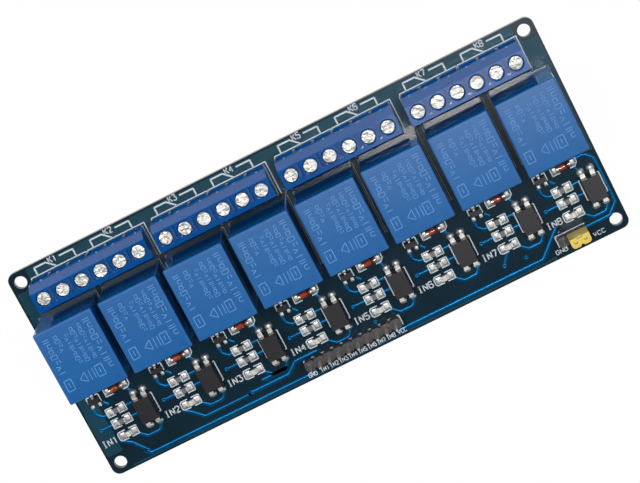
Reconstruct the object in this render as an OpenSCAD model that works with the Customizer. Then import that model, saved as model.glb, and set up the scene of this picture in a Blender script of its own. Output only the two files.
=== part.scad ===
// Eight-channel relay module board: eight sealed relays between a row of screw
// terminals and a row of small input parts, on one drilled circuit board.
// Millimetres. X runs along the board, Y from the inputs to the terminals, Z up.
// The origin is the middle of the mounting-hole pattern on the board's underside.
// The board is as long as its fuller row needs and as deep as the rows on it; the relays
// and the pairs of terminal blocks are spread evenly between its ends.

/* [Board] */
// Thickness of the board
board_t = 1.6; // [1:0.1:2.4]
// Radius of the board's corners
board_corner_r = 2; // [0.5:0.1:2.5]
// Distance of the mounting holes from the board's edges
hole_inset = 2.75; // [2.5:0.05:3.1]
// Diameter of the mounting holes
mount_hole_d = 3.1; // [2.6:0.1:3.4]
// Board left of the relays
left_margin = 2.4; // [1.6:0.05:6]
// Board right of the relays
right_margin = 1.55; // [1.4:0.05:6]
// Board at each end of the terminal blocks
end_margin = 5.35; // [4.8:0.05:8]
// Gap between relays and terminal blocks, and the least gap between two relays
clear_gap = 1.5; // [1:0.05:1.8]
// Board beyond the wire openings
terminal_margin = 3.35; // [3:0.05:6]
// Board in front of the header pins
header_margin = 4.05; // [2:0.05:6]
// How far every cut pin stands out below the board
tail_l = 1.8; // [1.2:0.1:3]
// Height of a solder cone below the board
solder_h = 0.8; // [0.4:0.1:1.1]
// Width of a solder cone where it meets the board
solder_d = 2; // [1.8:0.1:2.25]
// Rim of solder left round a pin at the cone's tip
solder_rim = 0.2; // [0.1:0.05:0.3]
// Gap between a pin and its plated hole, each side
hole_gap = 0.15; // [0.1:0.05:0.25]

/* [Relays] */
// Width of a relay cover
relay_w = 15.2; // [13.6:0.05:17.2]
// Depth of a relay cover
relay_l = 18.9; // [17:0.05:21.2]
// Height of a relay cover
relay_h = 15.7; // [14:0.05:17.6]
// Wall of the relay cover
cover_wall = 0.7; // [0.5:0.05:0.9]
// Top wall of the relay cover
cover_top_t = 0.8; // [0.6:0.05:1]
// Radius of the cover's edges
cover_edge_r = 0.4; // [0.2:0.05:0.5]
// Diameter of the dimple in the cover's top
dimple_d = 1.4; // [1:0.05:1.6]
// Depth of the dimple
dimple_depth = 0.25; // [0.1:0.05:0.3]
// Diameter of the blind vent in the dimple
vent_d = 0.6; // [0.4:0.05:0.8]
// Depth of the vent below the dimple
vent_depth = 0.25; // [0.1:0.05:0.3]
// Distance of the dimple from the side of the cover
dimple_side_inset = 1.75; // [1.4:0.05:3]
// Distance of the dimple from the front of the cover
dimple_front_inset = 1.5; // [1.4:0.05:3]
// Height of the feet below the relay's base plate
base_foot_h = 0.4; // [0.2:0.05:0.6]
// Width of one square foot
base_foot_w = 1.2; // [0.8:0.1:1.6]
// Thickness of the relay's base plate
base_t = 1.2; // [1:0.05:1.4]
// Gap between the base plate and the cover
base_gap = 0.05; // [0.02:0.01:0.1]

/* [Relay works] */
// Distance of the outer rows of pins from the front and back of the cover
pin_inset = 2.35; // [2.1:0.05:2.7]
// Distance from the common pin to the coil pins
coil_pin_step = 2; // [1.8:0.05:2.3]
// Width of a relay pin
relay_pin_w = 1; // [0.8:0.05:1.2]
// Thickness of a relay pin
relay_pin_t = 0.5; // [0.4:0.05:0.6]
// How far a pin's shoulder stands out, each side
pin_shoulder = 0.3; // [0.2:0.05:0.4]
// Gap between a pin's shoulder and the cover
shoulder_gap = 0.1; // [0.05:0.05:0.3]
// Gap between a pin and the base plate round it
pin_gap = 0.02; // [0.01:0.01:0.05]
// Thickness of the yoke
yoke_t = 1.2; // [1:0.05:1.4]
// Gap between the yoke and the coil pins' shoulders
yoke_side_gap = 0.7; // [0.4:0.05:1]
// Diameter of the core
core_d = 4; // [3.4:0.1:4.5]
// Diameter of the pole face on top of the core
pole_d = 7; // [6:0.1:7.9]
// Thickness of the pole face
pole_t = 0.7; // [0.5:0.05:0.9]
// Gap left between the pole face and the closed armature
closed_gap = 0.065; // [0.04:0.005:0.1]
// Wall of the bobbin's tube
bobbin_wall = 0.55; // [0.4:0.05:0.7]
// Gap between the core and the bobbin
core_gap = 0.05; // [0.02:0.01:0.1]
// Gap between the winding and the bobbin's tube
winding_gap = 0.02; // [0.01:0.01:0.05]
// Thickness of a bobbin flange
flange_t = 0.7; // [0.5:0.05:0.9]
// Gap between the flanges and the yoke
flange_yoke_gap = 0.4; // [0.2:0.05:0.6]
// Gap between the flanges and the contact posts
flange_post_gap = 1.1; // [0.8:0.05:1.4]
// Gap between the lower flange and the cover
flange_side_gap = 0.3; // [0.1:0.05:0.5]
// Rim of the upper flange beside the winding
flange_rim = 0.2; // [0.1:0.05:0.4]
// Gap between the winding's face and the ends of the flanges
winding_inset = 0.3; // [0.2:0.05:0.6]
// Thickness of the armature
armature_t = 1.2; // [1:0.05:1.4]
// How much narrower the armature is than the yoke, each side
armature_step = 0.5; // [0.2:0.05:0.8]
// Gap between the armature and the yoke's top edge
hinge_gap = 0.05; // [0.03:0.01:0.1]
// Turn of the armature from rest to closed, in degrees
armature_turn = 1.8; // [1.5:0.05:2.1]
// Thickness of the contact strip on the armature
strip_t = 0.25; // [0.15:0.05:0.3]
// Width of the contact strip
strip_w = 4; // [3:0.1:5]
// Distance from the contact pins to the contacts
contact_step = 0.3; // [0.2:0.05:0.5]
// Diameter of a contact button
button_d = 2.4; // [2:0.1:2.7]
// Height of a contact button
button_h = 0.35; // [0.25:0.05:0.4]
// Gap left between two buttons that meet
button_gap = 0.03; // [0.02:0.01:0.05]
// Thickness of a contact arm
arm_t = 0.5; // [0.4:0.05:0.6]
// Width of a contact arm
arm_w = 2.2; // [1.8:0.1:2.5]
// Gap between the upper contact arm and the cover's top
head_gap = 0.76; // [0.4:0.02:1]

/* [Terminals] */
// Mean gap between two pairs of terminal blocks
pair_gap = 2.6; // [1.6:0.05:4]
// How far each pair lies from its evenly spaced place
pair_shift = [0, -0.35, -0.2, 0];
// Distance from one wire to the next
way_pitch = 5; // [4.5:0.02:5.6]
// Wires in one block
block_ways = 3; // [3:1:3]
// Depth of a terminal block at its foot
terminal_l = 7.75; // [7:0.05:8.7]
// Height of a terminal block
terminal_h = 10; // [9:0.1:11.2]
// How far the sloping back leans in at the top
back_lean = 1.4; // [1:0.1:1.6]
// Height at which the sloping back begins
back_lean_z = 4.6; // [3:0.1:6]
// Depth of the sloping front edge
front_slope_l = 1.4; // [1:0.1:1.6]
// Height of the sloping front edge
front_slope_h = 3; // [2:0.1:3.4]
// Diameter of the screw head
screw_head_d = 3.1; // [2.8:0.1:3.5]
// Height of the screw head
screw_head_h = 1.3; // [1:0.1:1.5]
// Depth of the screw head below the block's top
screw_sink = 0.5; // [0.3:0.1:0.8]
// Gap between the screw head and its well
screw_well_gap = 0.25; // [0.15:0.05:0.3]
// Floor of the well that the screw head turns on
well_floor_t = 0.4; // [0.3:0.05:0.6]
// Chamfer round the top of each screw well
well_chamfer = 0.2; // [0.1:0.05:0.3]
// Diameter of the screw's shank
screw_d = 2.2; // [1.9:0.1:2.5]
// Gap between the shank and the clamp's threaded top
thread_gap = 0.02; // [0.01:0.01:0.05]
// Width of the slots in the screw head
cross_w = 0.5; // [0.4:0.05:0.6]
// Length of the slots in the screw head
cross_l = 2.5; // [2.2:0.05:2.8]
// Depth of the slots in the screw head
cross_depth = 0.6; // [0.4:0.1:0.8]
// Width of the slot between two wires
divide_w = 0.75; // [0.5:0.05:0.9]
// Depth of the slot between two wires
divide_depth = 1.2; // [0.6:0.1:2]
// Length of the slot between two wires
divide_l = 3.8; // [3:0.1:4.3]
// Distance of that slot from the top's front edge
divide_inset = 0.25; // [0.1:0.05:0.5]
// Wall between two clamps
way_wall = 1.4; // [1.2:0.05:1.6]
// Wall behind the clamps
cavity_back_wall = 0.7; // [0.6:0.05:0.8]
// Wall in front of the clamps
cavity_front_wall = 1.9; // [1.7:0.05:2.15]
// Wall between the shallow recesses round two wire openings
divider_w = 0.7; // [0.5:0.05:0.9]
// Height of a wire opening
entry_h = 2.7; // [2.4:0.05:3.1]
// Height of a wire opening's lower edge above the board
entry_z = 1.5; // [1.3:0.05:1.7]
// Margin of the shallow recess round a wire opening
recess_margin = 0.65; // [0.4:0.05:0.75]
// Depth of the shallow recess
recess_depth = 0.9; // [0.5:0.05:1.1]
// Wall of a clamp cage
cage_wall = 0.45; // [0.35:0.05:0.55]
// Thickness of the cage's threaded top
cage_top_t = 1; // [0.8:0.05:1.15]
// Depth of a clamp cage
cage_l = 3.3; // [2.9:0.05:3.7]
// Height of a clamp cage
cage_h = 4.9; // [4.4:0.05:5.5]
// Height of the opened cage above the board
cage_z = 0.9; // [0.7:0.05:1.1]
// Gap between a cage and the housing
cage_gap = 0.1; // [0.05:0.05:0.15]
// Thickness of a terminal pin
bar_t = 0.7; // [0.6:0.05:0.8]
// Gap between a terminal pin's bar and the cage, each side
bar_gap = 0.15; // [0.05:0.05:0.3]
// Width of a terminal pin below its bar
terminal_pin_w = 1; // [0.8:0.05:1.15]

/* [Input parts] */
// Distance of the optocouplers from their relay's middle
opto_x = 4.92; // [4.4:0.02:5.5]
// Distance of the optocouplers' middle from the relays
opto_row = 12.05; // [11:0.05:13]
// Width of an optocoupler
opto_w = 4.6; // [4.1:0.05:5.2]
// Length of an optocoupler
opto_l = 6.5; // [5.8:0.05:7.3]
// Height of an optocoupler's moulding
opto_h = 3.3; // [3:0.05:3.7]
// Gap below an optocoupler's moulding
opto_lift = 0.2; // [0.1:0.05:0.3]
// Slope of the moulding's sides
opto_draft = 0.2; // [0.1:0.02:0.25]
// Diameter of the dot on an optocoupler
opto_dot_d = 0.7; // [0.5:0.05:0.9]
// Depth of the dot
opto_dot_depth = 0.15; // [0.05:0.05:0.3]
// Distance of the dot from the side and the end of the moulding
opto_dot_inset = [1.2, 0.8];
// Distance between the leads along the board
opto_lead_pitch = 2.54; // [2.3:0.02:2.85]
// How far a lead runs out before it drops
opto_lead_reach = 0.75; // [0.5:0.05:1]
// Width of a lead
opto_lead_w = 1.2; // [0.9:0.05:1.35]
// Thickness of a lead
opto_lead_t = 0.25; // [0.2:0.05:0.3]
// Length of a lead's foot
opto_foot_l = 1.1; // [0.8:0.05:1.25]
// Distance of the transistors from their relay's middle
transistor_x = -5.7; // [-6.3:0.05:-5.1]
// Distance of the transistors from the relays
transistor_row = 5.15; // [4.6:0.05:5.8]
// Width of a transistor
transistor_w = 2.9; // [2.6:0.05:3.3]
// Depth of a transistor
transistor_l = 1.4; // [1.2:0.05:1.6]
// Height of a transistor's moulding
transistor_h = 1; // [0.9:0.05:1.15]
// Gap below a transistor's moulding
transistor_lift = 0.1; // [0.05:0.05:0.15]
// Slope of the transistor's sides
transistor_draft = 0.1; // [0.05:0.01:0.15]
// Distance between a transistor's two front leads
transistor_lead_pitch = 1.9; // [1.7:0.05:2.15]
// How far a transistor's lead runs out before it drops
transistor_lead_reach = 0.15; // [0.1:0.05:0.3]
// Width of a transistor's lead
transistor_lead_w = 0.45; // [0.4:0.05:0.5]
// Thickness of a transistor's lead
transistor_lead_t = 0.15; // [0.1:0.05:0.2]
// Length of a transistor lead's foot
transistor_foot_l = 0.45; // [0.35:0.05:0.6]
// Distance of the diodes from their relay's middle
diode_x = 0.65; // [0.5:0.05:0.8]
// Distance of the diodes from the relays
diode_row = 4.4; // [3.9:0.05:4.95]
// Length of a diode
diode_l = 3.6; // [3.2:0.05:4]
// Diameter of a diode's end caps
diode_cap_d = 1.5; // [1.3:0.05:1.7]
// Length of a diode's end cap
diode_cap_l = 0.45; // [0.35:0.05:0.55]
// Step from a diode's end cap down to its glass
diode_cap_step = 0.07; // [0.03:0.01:0.12]
// Distance of the resistors and lamps from their relay's middle
chip_x = -2.1; // [-2.3:0.05:-1.9]
// Distances of the two resistors from the relays
resistor_rows = [9.6, 12.65];
// Length of a resistor
chip_l = 2; // [1.8:0.05:2.25]
// Width of a resistor
chip_w = 1.25; // [1.1:0.05:1.4]
// Height of a resistor
chip_h = 0.55; // [0.45:0.05:0.65]
// Length of a metal end on a resistor or lamp
chip_end_l = 0.4; // [0.3:0.05:0.5]
// Thickness of the metal on a resistor's end
chip_end_t = 0.04; // [0.02:0.01:0.06]
// Distance of the lamps from the relays
led_row = 16.15; // [15:0.05:17.8]
// Height of a lamp's base
led_base_h = 0.35; // [0.25:0.05:0.45]
// Height of a lamp's lens
led_lens_h = 0.45; // [0.35:0.05:0.6]
// Slope of a lens's ends
led_lens_slope = 0.12; // [0.05:0.01:0.15]
// Gap between the lens and the lamp's metal ends
led_lens_gap = 0.05; // [0.02:0.01:0.1]

/* [Headers] */
// Distance of the header pins from the relays
header_row = 20.45; // [19:0.05:23]
// Distance between header pins
header_pitch = 2.54; // [2.3:0.01:2.85]
// Pins in the input header
input_pins_n = 10; // [10:1:10]
// Middle of the input header along the board
input_x = -2.8; // [-3.2:0.05:-2.4]
// Pins in the jumper header
jumper_pins_n = 3; // [3:1:3]
// Distance of the jumper header's middle from the board's right end
jumper_inset = 13.75; // [12:0.05:16]
// Depth of a header's moulding
header_w = 2.5; // [2.2:0.05:2.8]
// Height of a header's moulding
header_h = 2.5; // [2.2:0.05:2.8]
// Cut at the corners of each header cell
header_cut = 0.45; // [0.3:0.05:0.6]
// Width of a square header pin
header_pin_w = 0.64; // [0.56:0.01:0.72]
// Height of the header pins above the moulding
header_pin_h = 5.5; // [5:0.1:6.5]
// Taper at a header pin's tip
header_tip = 0.4; // [0.2:0.05:0.5]
// How much narrower the jumper cap is than two header cells
cap_side_gap = 0.08; // [0.04:0.02:0.2]
// Depth of the jumper cap
cap_l = 2.45; // [2.2:0.05:2.75]
// Space above the pins inside the jumper cap
cap_head_gap = 0.1; // [0.05:0.05:0.3]
// Wall of the jumper cap
cap_wall = 0.4; // [0.35:0.05:0.45]
// Thickness of the jumper cap's top
cap_top_t = 0.4; // [0.3:0.05:0.6]
// Radius of the two round lobes on the cap's front
cap_lobe_r = 0.9; // [0.7:0.05:1]
// Width of the notches in the middle of the cap's front and back
cap_notch_w = 1.2; // [0.9:0.05:1.4]
// Wall left between the front notch and the clip's space
cap_web = 0.15; // [0.1:0.05:0.2]
// Height of the notch in the back of the cap's top
cap_notch_h = 0.6; // [0.3:0.05:0.8]
// Depth of the notch in the back of the cap's top
cap_notch_l = 0.45; // [0.3:0.05:0.5]
// Width of a small window in the cap's top
window_w = 0.7; // [0.5:0.05:0.8]
// Depth of a small window in the cap's top
window_l = 0.45; // [0.35:0.05:0.6]
// Thickness of the clip in the cap
clip_t = 0.2; // [0.15:0.05:0.22]
// Gap between the clip and the pins
clip_gap = 0.05; // [0.03:0.01:0.08]
// Gap between the clip and the cap's middle
clip_cap_gap = 0.03; // [0.01:0.01:0.06]
// Height of the clip's lower edge inside the cap
clip_z = 0.6; // [0.3:0.1:1]

/* [Hidden] */
CHANNELS = 8;
SIDES = [-1, 1];
PAIRS = len(pair_shift);
BLOCKS = 2 * PAIRS;
$fn = 48;
// Overlap of two shapes that make one solid
eps = 0.01;
// How far a cut runs past the face it opens
cut = 1;

// The board and the rows on it
block_w = way_pitch * block_ways;
relays_need = left_margin + CHANNELS * relay_w + (CHANNELS - 1) * clear_gap + right_margin;
blocks_need = BLOCKS * block_w + (PAIRS - 1) * pair_gap + 2 * end_margin;
board_l = max(relays_need, blocks_need);
board_w = header_margin + header_row + relay_l + clear_gap + terminal_l + terminal_margin;
relay_pitch = (board_l - left_margin - right_margin - relay_w) / (CHANNELS - 1);
pair_pitch = (board_l - 2 * (end_margin + block_w)) / (PAIRS - 1);
relay_row_x = (left_margin - right_margin) / 2;
header_y = header_margin - board_w / 2;
relay_front_y = header_y + header_row;
relay_back_y = relay_front_y + relay_l;
terminal_back_y = relay_back_y + clear_gap;
terminal_front_y = terminal_back_y + terminal_l;

// Places across the board inside a relay
relay_mid_y = (relay_front_y + relay_back_y) / 2;
common_y = relay_front_y + pin_inset;
coil_pin_y = common_y + coil_pin_step;
contact_pin_y = relay_back_y - pin_inset;
contact_y = contact_pin_y - contact_step;
yoke_back_y = common_y + relay_pin_t / 2;
yoke_in_y = yoke_back_y + yoke_t;
flange_front_y = yoke_in_y + flange_yoke_gap;
flange_back_y = contact_pin_y - relay_pin_t / 2 - flange_post_gap;
flange_l = flange_back_y - flange_front_y;
core_y = (flange_front_y + flange_back_y) / 2;
pole_back_y = core_y + pole_d / 2;

// Places along the board inside a relay
cover_in_w = relay_w - 2 * cover_wall;
cover_in_l = relay_l - 2 * cover_wall;
side_pin_x = cover_in_w / 2 - shoulder_gap - pin_shoulder - relay_pin_w / 2;
yoke_w = 2 * (side_pin_x - relay_pin_w / 2 - pin_shoulder - yoke_side_gap);
armature_w = yoke_w - 2 * armature_step;
coil_d = flange_l - 2 * winding_inset;
tube_d = core_d + 2 * (core_gap + bobbin_wall);

// Heights inside a relay: the winding takes what the other pieces leave
pole_gap = (pole_back_y - yoke_in_y) * tan(armature_turn) + closed_gap;
contact_travel = (contact_y + button_d / 2 - yoke_in_y) * tan(armature_turn);
below_coil = base_foot_h + base_t + yoke_t + flange_t;
above_coil = flange_t + pole_t + pole_gap + armature_t + strip_t + 2 * button_h + button_gap
    + arm_t + head_gap + cover_top_t;
coil_h = relay_h - below_coil - above_coil;
base_z = board_t + base_foot_h;
base_top = base_z + base_t;
bobbin_z = base_top + yoke_t;
coil_z = bobbin_z + flange_t;
flange_top_z = coil_z + coil_h;
pole_z = flange_top_z + flange_t;
pole_top = pole_z + pole_t;
armature_z = pole_top + pole_gap;
yoke_top = armature_z - hinge_gap;
strip_z = armature_z + armature_t;
moving_low = strip_z - button_h;
moving_high = strip_z + strip_t + button_h;

// Terminal block places and heights
cavity_w = way_pitch - way_wall;
cavity_front_y = terminal_front_y - cavity_front_wall;
cavity_back_y = terminal_back_y + cavity_back_wall;
cavity_h = terminal_h - screw_sink - screw_head_h - well_floor_t;
cavity_lean = back_lean * (cavity_h - back_lean_z) / (terminal_h - back_lean_z);
recess_w = way_pitch - divider_w;
cage_w = cavity_w - 2 * cage_gap;
cage_back_y = cavity_front_y - cage_gap - cage_l;
screw_y = cage_back_y + cage_l / 2;
screw_head_top = board_t + terminal_h - screw_sink;
terminal_pin_y = (cavity_back_y + cage_back_y) / 2;
bar_top = board_t + cage_z + cage_h - cage_top_t;
bar_w = cage_w - 2 * (cage_wall + bar_gap);
top_front_y = terminal_front_y - front_slope_l;

// Header places and heights
jumper_x = board_l / 2 - jumper_inset;
header_top = board_t + header_h;
pin_tip_z = header_top + header_pin_h;
cap_x = jumper_x + header_pitch / 2;
cap_w = 2 * header_pitch - cap_side_gap;
cap_in_h = header_pin_h + cap_head_gap;
cap_h = cap_in_h + cap_top_t;
clip_reach = header_pin_w / 2 + clip_gap + clip_t;

function relay_x(i) = relay_row_x + (i - (CHANNELS + 1) / 2) * relay_pitch;
function pair_x(k) = (k - (PAIRS + 1) / 2) * pair_pitch + pair_shift[k - 1];
function block_x(i) = pair_x(ceil(i / 2)) + (i % 2 == 1 ? -0.5 : 0.5) * block_w;
function way_x(i, w) = block_x(i) + (w - (block_ways + 1) / 2) * way_pitch;
function pin_x(i, n) = (i - (n + 1) / 2) * header_pitch;

// ---------------------------------------------------------------- helpers

module rounded_rect(x, y, r) {
    square([x - 2 * r, y], center = true);
    square([x, y - 2 * r], center = true);
    for (sx = SIDES, sy = SIDES)
        translate([sx * (x / 2 - r), sy * (y / 2 - r)]) circle(r);
}

// A block centred in X and Y that stands on z = 0
module slab(x, y, z) {
    translate([-x / 2, -y / 2, 0]) cube([x, y, z]);
}

// A block centred in X that runs towards +Y
module slab_forward(x, y, z) {
    translate([-x / 2, 0, 0]) cube([x, y, z]);
}

// A profile drawn in Y and Z, as long as x, centred in X
module along_x(x) {
    translate([-x / 2, 0, 0]) rotate([90, 0, 90]) linear_extrude(x) children();
}

module at_relays() {
    for (i = [1:CHANNELS]) translate([relay_x(i), 0, 0]) children();
}

module at_ways() {
    for (b = [1:BLOCKS], w = [1:block_ways]) translate([way_x(b, w), 0, 0]) children();
}

module at_relay_pins() {
    at_relays() {
        translate([0, common_y, 0]) children();
        for (s = SIDES) {
            translate([s * side_pin_x, coil_pin_y, 0]) children();
            translate([s * side_pin_x, contact_pin_y, 0]) children();
        }
    }
}

module at_terminal_pins() {
    at_ways() translate([0, terminal_pin_y, 0]) children();
}

module at_input_pins() {
    for (i = [1:input_pins_n])
        translate([input_x + pin_x(i, input_pins_n), header_y, 0]) children();
}

module at_jumper_pins() {
    for (i = [1:jumper_pins_n])
        translate([jumper_x + pin_x(i, jumper_pins_n), header_y, 0]) children();
}

// ------------------------------------------------------------------ board

module circuit_board() {
    color([0.06, 0.27, 0.34]) difference() {
        linear_extrude(board_t) rounded_rect(board_l, board_w, board_corner_r);
        for (sx = SIDES, sy = SIDES)
            translate([sx * (board_l / 2 - hole_inset), sy * (board_w / 2 - hole_inset), -cut])
                cylinder(h = board_t + 2 * cut, d = mount_hole_d);
        at_relay_pins() plated_hole(relay_pin_w, relay_pin_t);
        at_terminal_pins() plated_hole(terminal_pin_w, bar_t);
        at_input_pins() plated_hole(header_pin_w, header_pin_w);
        at_jumper_pins() plated_hole(header_pin_w, header_pin_w);
    }
}

// The round hole that a flat or square pin passes through
module plated_hole(w, t) {
    translate([0, 0, -cut]) cylinder(h = board_t + 2 * cut, d = norm([w, t]) + 2 * hole_gap);
}

module solder_joints() {
    color([0.75, 0.76, 0.78]) {
        at_relay_pins() solder_cone(relay_pin_w, relay_pin_t);
        at_terminal_pins() solder_cone(terminal_pin_w, bar_t);
        at_input_pins() solder_cone(header_pin_w, header_pin_w);
        at_jumper_pins() solder_cone(header_pin_w, header_pin_w);
    }
}

// Solder round a pin, hanging from the underside of the board
module solder_cone(w, t) {
    tip_d = norm([w, t]) + solder_rim;
    difference() {
        translate([0, 0, -solder_h]) cylinder(h = solder_h, d1 = tip_d, d2 = solder_d);
        translate([0, 0, -solder_h - cut]) slab(w, t, solder_h + 2 * cut);
    }
}

// ----------------------------------------------------------------- relays

module relay_cover(i) {
    color([0.17, 0.38, 0.68]) translate([relay_x(i), relay_mid_y, board_t]) difference() {
        cover_outside();
        translate([0, 0, -cut]) slab(cover_in_w, cover_in_l, relay_h - cover_top_t + cut);
        translate([relay_w / 2 - dimple_side_inset, dimple_front_inset - relay_l / 2, relay_h]) {
            translate([0, 0, -dimple_depth]) cylinder(h = dimple_depth + cut, d = dimple_d);
            translate([0, 0, -dimple_depth - vent_depth]) cylinder(h = cut, d = vent_d);
        }
    }
}

// Block with true round edges along its sides and top
module cover_outside() {
    r = cover_edge_r;
    linear_extrude(relay_h - r) rounded_rect(relay_w, relay_l, r);
    translate([0, 0, relay_h - r]) {
        for (s = SIDES) {
            translate([s * (relay_w / 2 - r), 0, 0]) rotate([90, 0, 0])
                cylinder(h = relay_l - 2 * r, r = r, center = true);
            translate([0, s * (relay_l / 2 - r), 0]) rotate([0, 90, 0])
                cylinder(h = relay_w - 2 * r, r = r, center = true);
        }
        for (sx = SIDES, sy = SIDES)
            translate([sx * (relay_w / 2 - r), sy * (relay_l / 2 - r), 0]) sphere(r);
        slab(relay_w - 2 * r, relay_l - 2 * r, r);
    }
}

module relay_bases() {
    w = cover_in_w - 2 * base_gap;
    l = cover_in_l - 2 * base_gap;
    color([0.15, 0.33, 0.6]) difference() {
        at_relays() translate([0, relay_mid_y, 0]) {
            translate([0, 0, base_z]) slab(w, l, base_t);
            for (sx = SIDES, sy = SIDES)
                translate([sx * (w - base_foot_w) / 2, sy * (l - base_foot_w) / 2, board_t])
                    slab(base_foot_w, base_foot_w, base_foot_h + eps);
        }
        at_relay_pins() translate([0, 0, board_t])
            slab(relay_pin_w + 2 * pin_gap, relay_pin_t + 2 * pin_gap, relay_h);
    }
}

// L-shaped iron: one leg on the base below the coil, one leg up in front of it
module relay_yokes() {
    color([0.62, 0.63, 0.66]) at_relays() difference() {
        union() {
            translate([0, yoke_back_y, base_top])
                slab_forward(yoke_w, yoke_t, yoke_top - base_top);
            translate([0, yoke_in_y - eps, base_top])
                slab_forward(yoke_w, pole_back_y - yoke_in_y + eps, yoke_t);
        }
        translate([0, core_y, base_top - cut]) cylinder(h = yoke_t + 2 * cut, d = core_d);
    }
}

module relay_cores() {
    color([0.7, 0.71, 0.73]) at_relays() translate([0, core_y, 0]) {
        translate([0, 0, base_top]) cylinder(h = pole_top - base_top, d = core_d);
        translate([0, 0, pole_z]) cylinder(h = pole_t, d = pole_d);
    }
}

module relay_bobbins() {
    color([0.9, 0.88, 0.8]) at_relays() translate([0, core_y, 0]) difference() {
        union() {
            translate([0, 0, bobbin_z]) slab(cover_in_w - 2 * flange_side_gap, flange_l, flange_t);
            translate([0, 0, bobbin_z]) cylinder(h = pole_z - bobbin_z, d = tube_d);
            translate([0, 0, flange_top_z]) slab(coil_d + 2 * flange_rim, flange_l, flange_t);
        }
        translate([0, 0, base_top]) cylinder(h = relay_h, d = core_d + 2 * core_gap);
    }
}

module relay_coils() {
    color([0.66, 0.35, 0.17]) at_relays() translate([0, core_y, coil_z]) difference() {
        cylinder(h = coil_h, d = coil_d);
        translate([0, 0, -cut]) cylinder(h = coil_h + 2 * cut, d = tube_d + 2 * winding_gap);
    }
}

// Pin with a shoulder that stands on the base plate
module shouldered_pin(top_z) {
    translate([0, 0, -tail_l]) slab(relay_pin_w, relay_pin_t, top_z + tail_l);
    translate([0, 0, base_top])
        slab(relay_pin_w + 2 * pin_shoulder, relay_pin_t, top_z - base_top);
}

module relay_common_posts() {
    color([0.8, 0.62, 0.4]) at_relays() translate([0, common_y, 0]) shouldered_pin(flange_top_z);
}

module relay_coil_pins() {
    color([0.78, 0.78, 0.8]) at_relays() for (s = SIDES)
        translate([s * side_pin_x, coil_pin_y, 0]) shouldered_pin(bobbin_z);
}

// The resting contact above the strip on one side, the working one below on the other
module relay_contact_posts() {
    rest_low = moving_high + button_gap;
    work_high = moving_low - contact_travel - button_gap;
    color([0.8, 0.62, 0.4]) at_relays() {
        contact_post(1, rest_low + button_h, rest_low);
        contact_post(-1, work_high - button_h - arm_t, work_high - button_h);
    }
}

module contact_post(side, arm_z, button_z) {
    arm_l = side_pin_x + relay_pin_w / 2 + button_d / 2;
    translate([side * side_pin_x, contact_pin_y, 0]) shouldered_pin(arm_z + arm_t);
    translate([side * (arm_l - button_d) / 2, contact_y, arm_z]) slab(arm_l, arm_w, arm_t);
    translate([0, contact_y, button_z]) cylinder(h = button_h, d = button_d);
}

module relay_armature(i) {
    strip_front = yoke_back_y + yoke_t / 2;
    strip_end = contact_y + button_d / 2;
    translate([relay_x(i), 0, 0]) {
        color([0.62, 0.63, 0.66]) translate([0, yoke_back_y, armature_z])
            slab_forward(armature_w, pole_back_y - yoke_back_y, armature_t);
        color([0.85, 0.6, 0.35]) translate([0, strip_front, strip_z])
            slab_forward(strip_w, strip_end - strip_front, strip_t);
        color([0.85, 0.85, 0.88]) translate([0, contact_y, moving_low])
            cylinder(h = moving_high - moving_low, d = button_d);
    }
}

// -------------------------------------------------------------- terminals

// Moulding of one block; the half slot on its inner end makes a whole one with its twin
module terminal_housing(i) {
    inner_end = i % 2 == 1 ? 1 : -1;
    color([0.05, 0.3, 0.66]) translate([block_x(i), 0, 0]) difference() {
        along_x(block_w) terminal_profile();
        for (w = [1:block_ways])
            translate([(w - (block_ways + 1) / 2) * way_pitch, 0, 0]) way_space();
        for (w = [1:block_ways - 1])
            translate([(w - block_ways / 2) * way_pitch, 0, 0]) divide_slot();
        translate([inner_end * block_w / 2, 0, 0]) divide_slot();
    }
}

module terminal_profile() {
    polygon([
        [terminal_back_y, board_t],
        [terminal_front_y, board_t],
        [terminal_front_y, board_t + terminal_h - front_slope_h],
        [top_front_y, board_t + terminal_h],
        [terminal_back_y + back_lean, board_t + terminal_h],
        [terminal_back_y, board_t + back_lean_z]
    ]);
}

// Everything that is open in one way: screw well, clamp space and wire opening
module way_space() {
    entry_w = recess_w - 2 * recess_margin;
    recess_h = entry_h + 2 * recess_margin;
    well_r = screw_head_d / 2 + screw_well_gap;
    translate([0, screw_y, screw_head_top - screw_head_h]) cylinder(h = terminal_h, r = well_r);
    translate([0, screw_y, board_t + terminal_h - well_chamfer])
        cylinder(h = well_chamfer + cut, r1 = well_r, r2 = well_r + well_chamfer + cut);
    translate([0, screw_y, board_t]) cylinder(h = terminal_h, d = screw_d + 2 * screw_well_gap);
    along_x(cavity_w) clamp_space();
    translate([0, cavity_front_y - cut, board_t + entry_z])
        slab_forward(entry_w, cavity_front_wall + 2 * cut, entry_h);
    translate([0, terminal_front_y - recess_depth, board_t + entry_z - recess_margin])
        slab_forward(recess_w, recess_depth + cut, recess_h);
}

// Side view of the space for a clamp, open below, with a back that leans with the block's
module clamp_space() {
    polygon([
        [cavity_back_y, board_t - cut],
        [cavity_front_y, board_t - cut],
        [cavity_front_y, board_t + cavity_h],
        [cavity_back_y + cavity_lean, board_t + cavity_h],
        [cavity_back_y, board_t + back_lean_z]
    ]);
}

module divide_slot() {
    translate([0, top_front_y - divide_inset - divide_l, board_t + terminal_h - divide_depth])
        slab_forward(divide_w, divide_l, divide_depth + cut);
}

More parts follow.
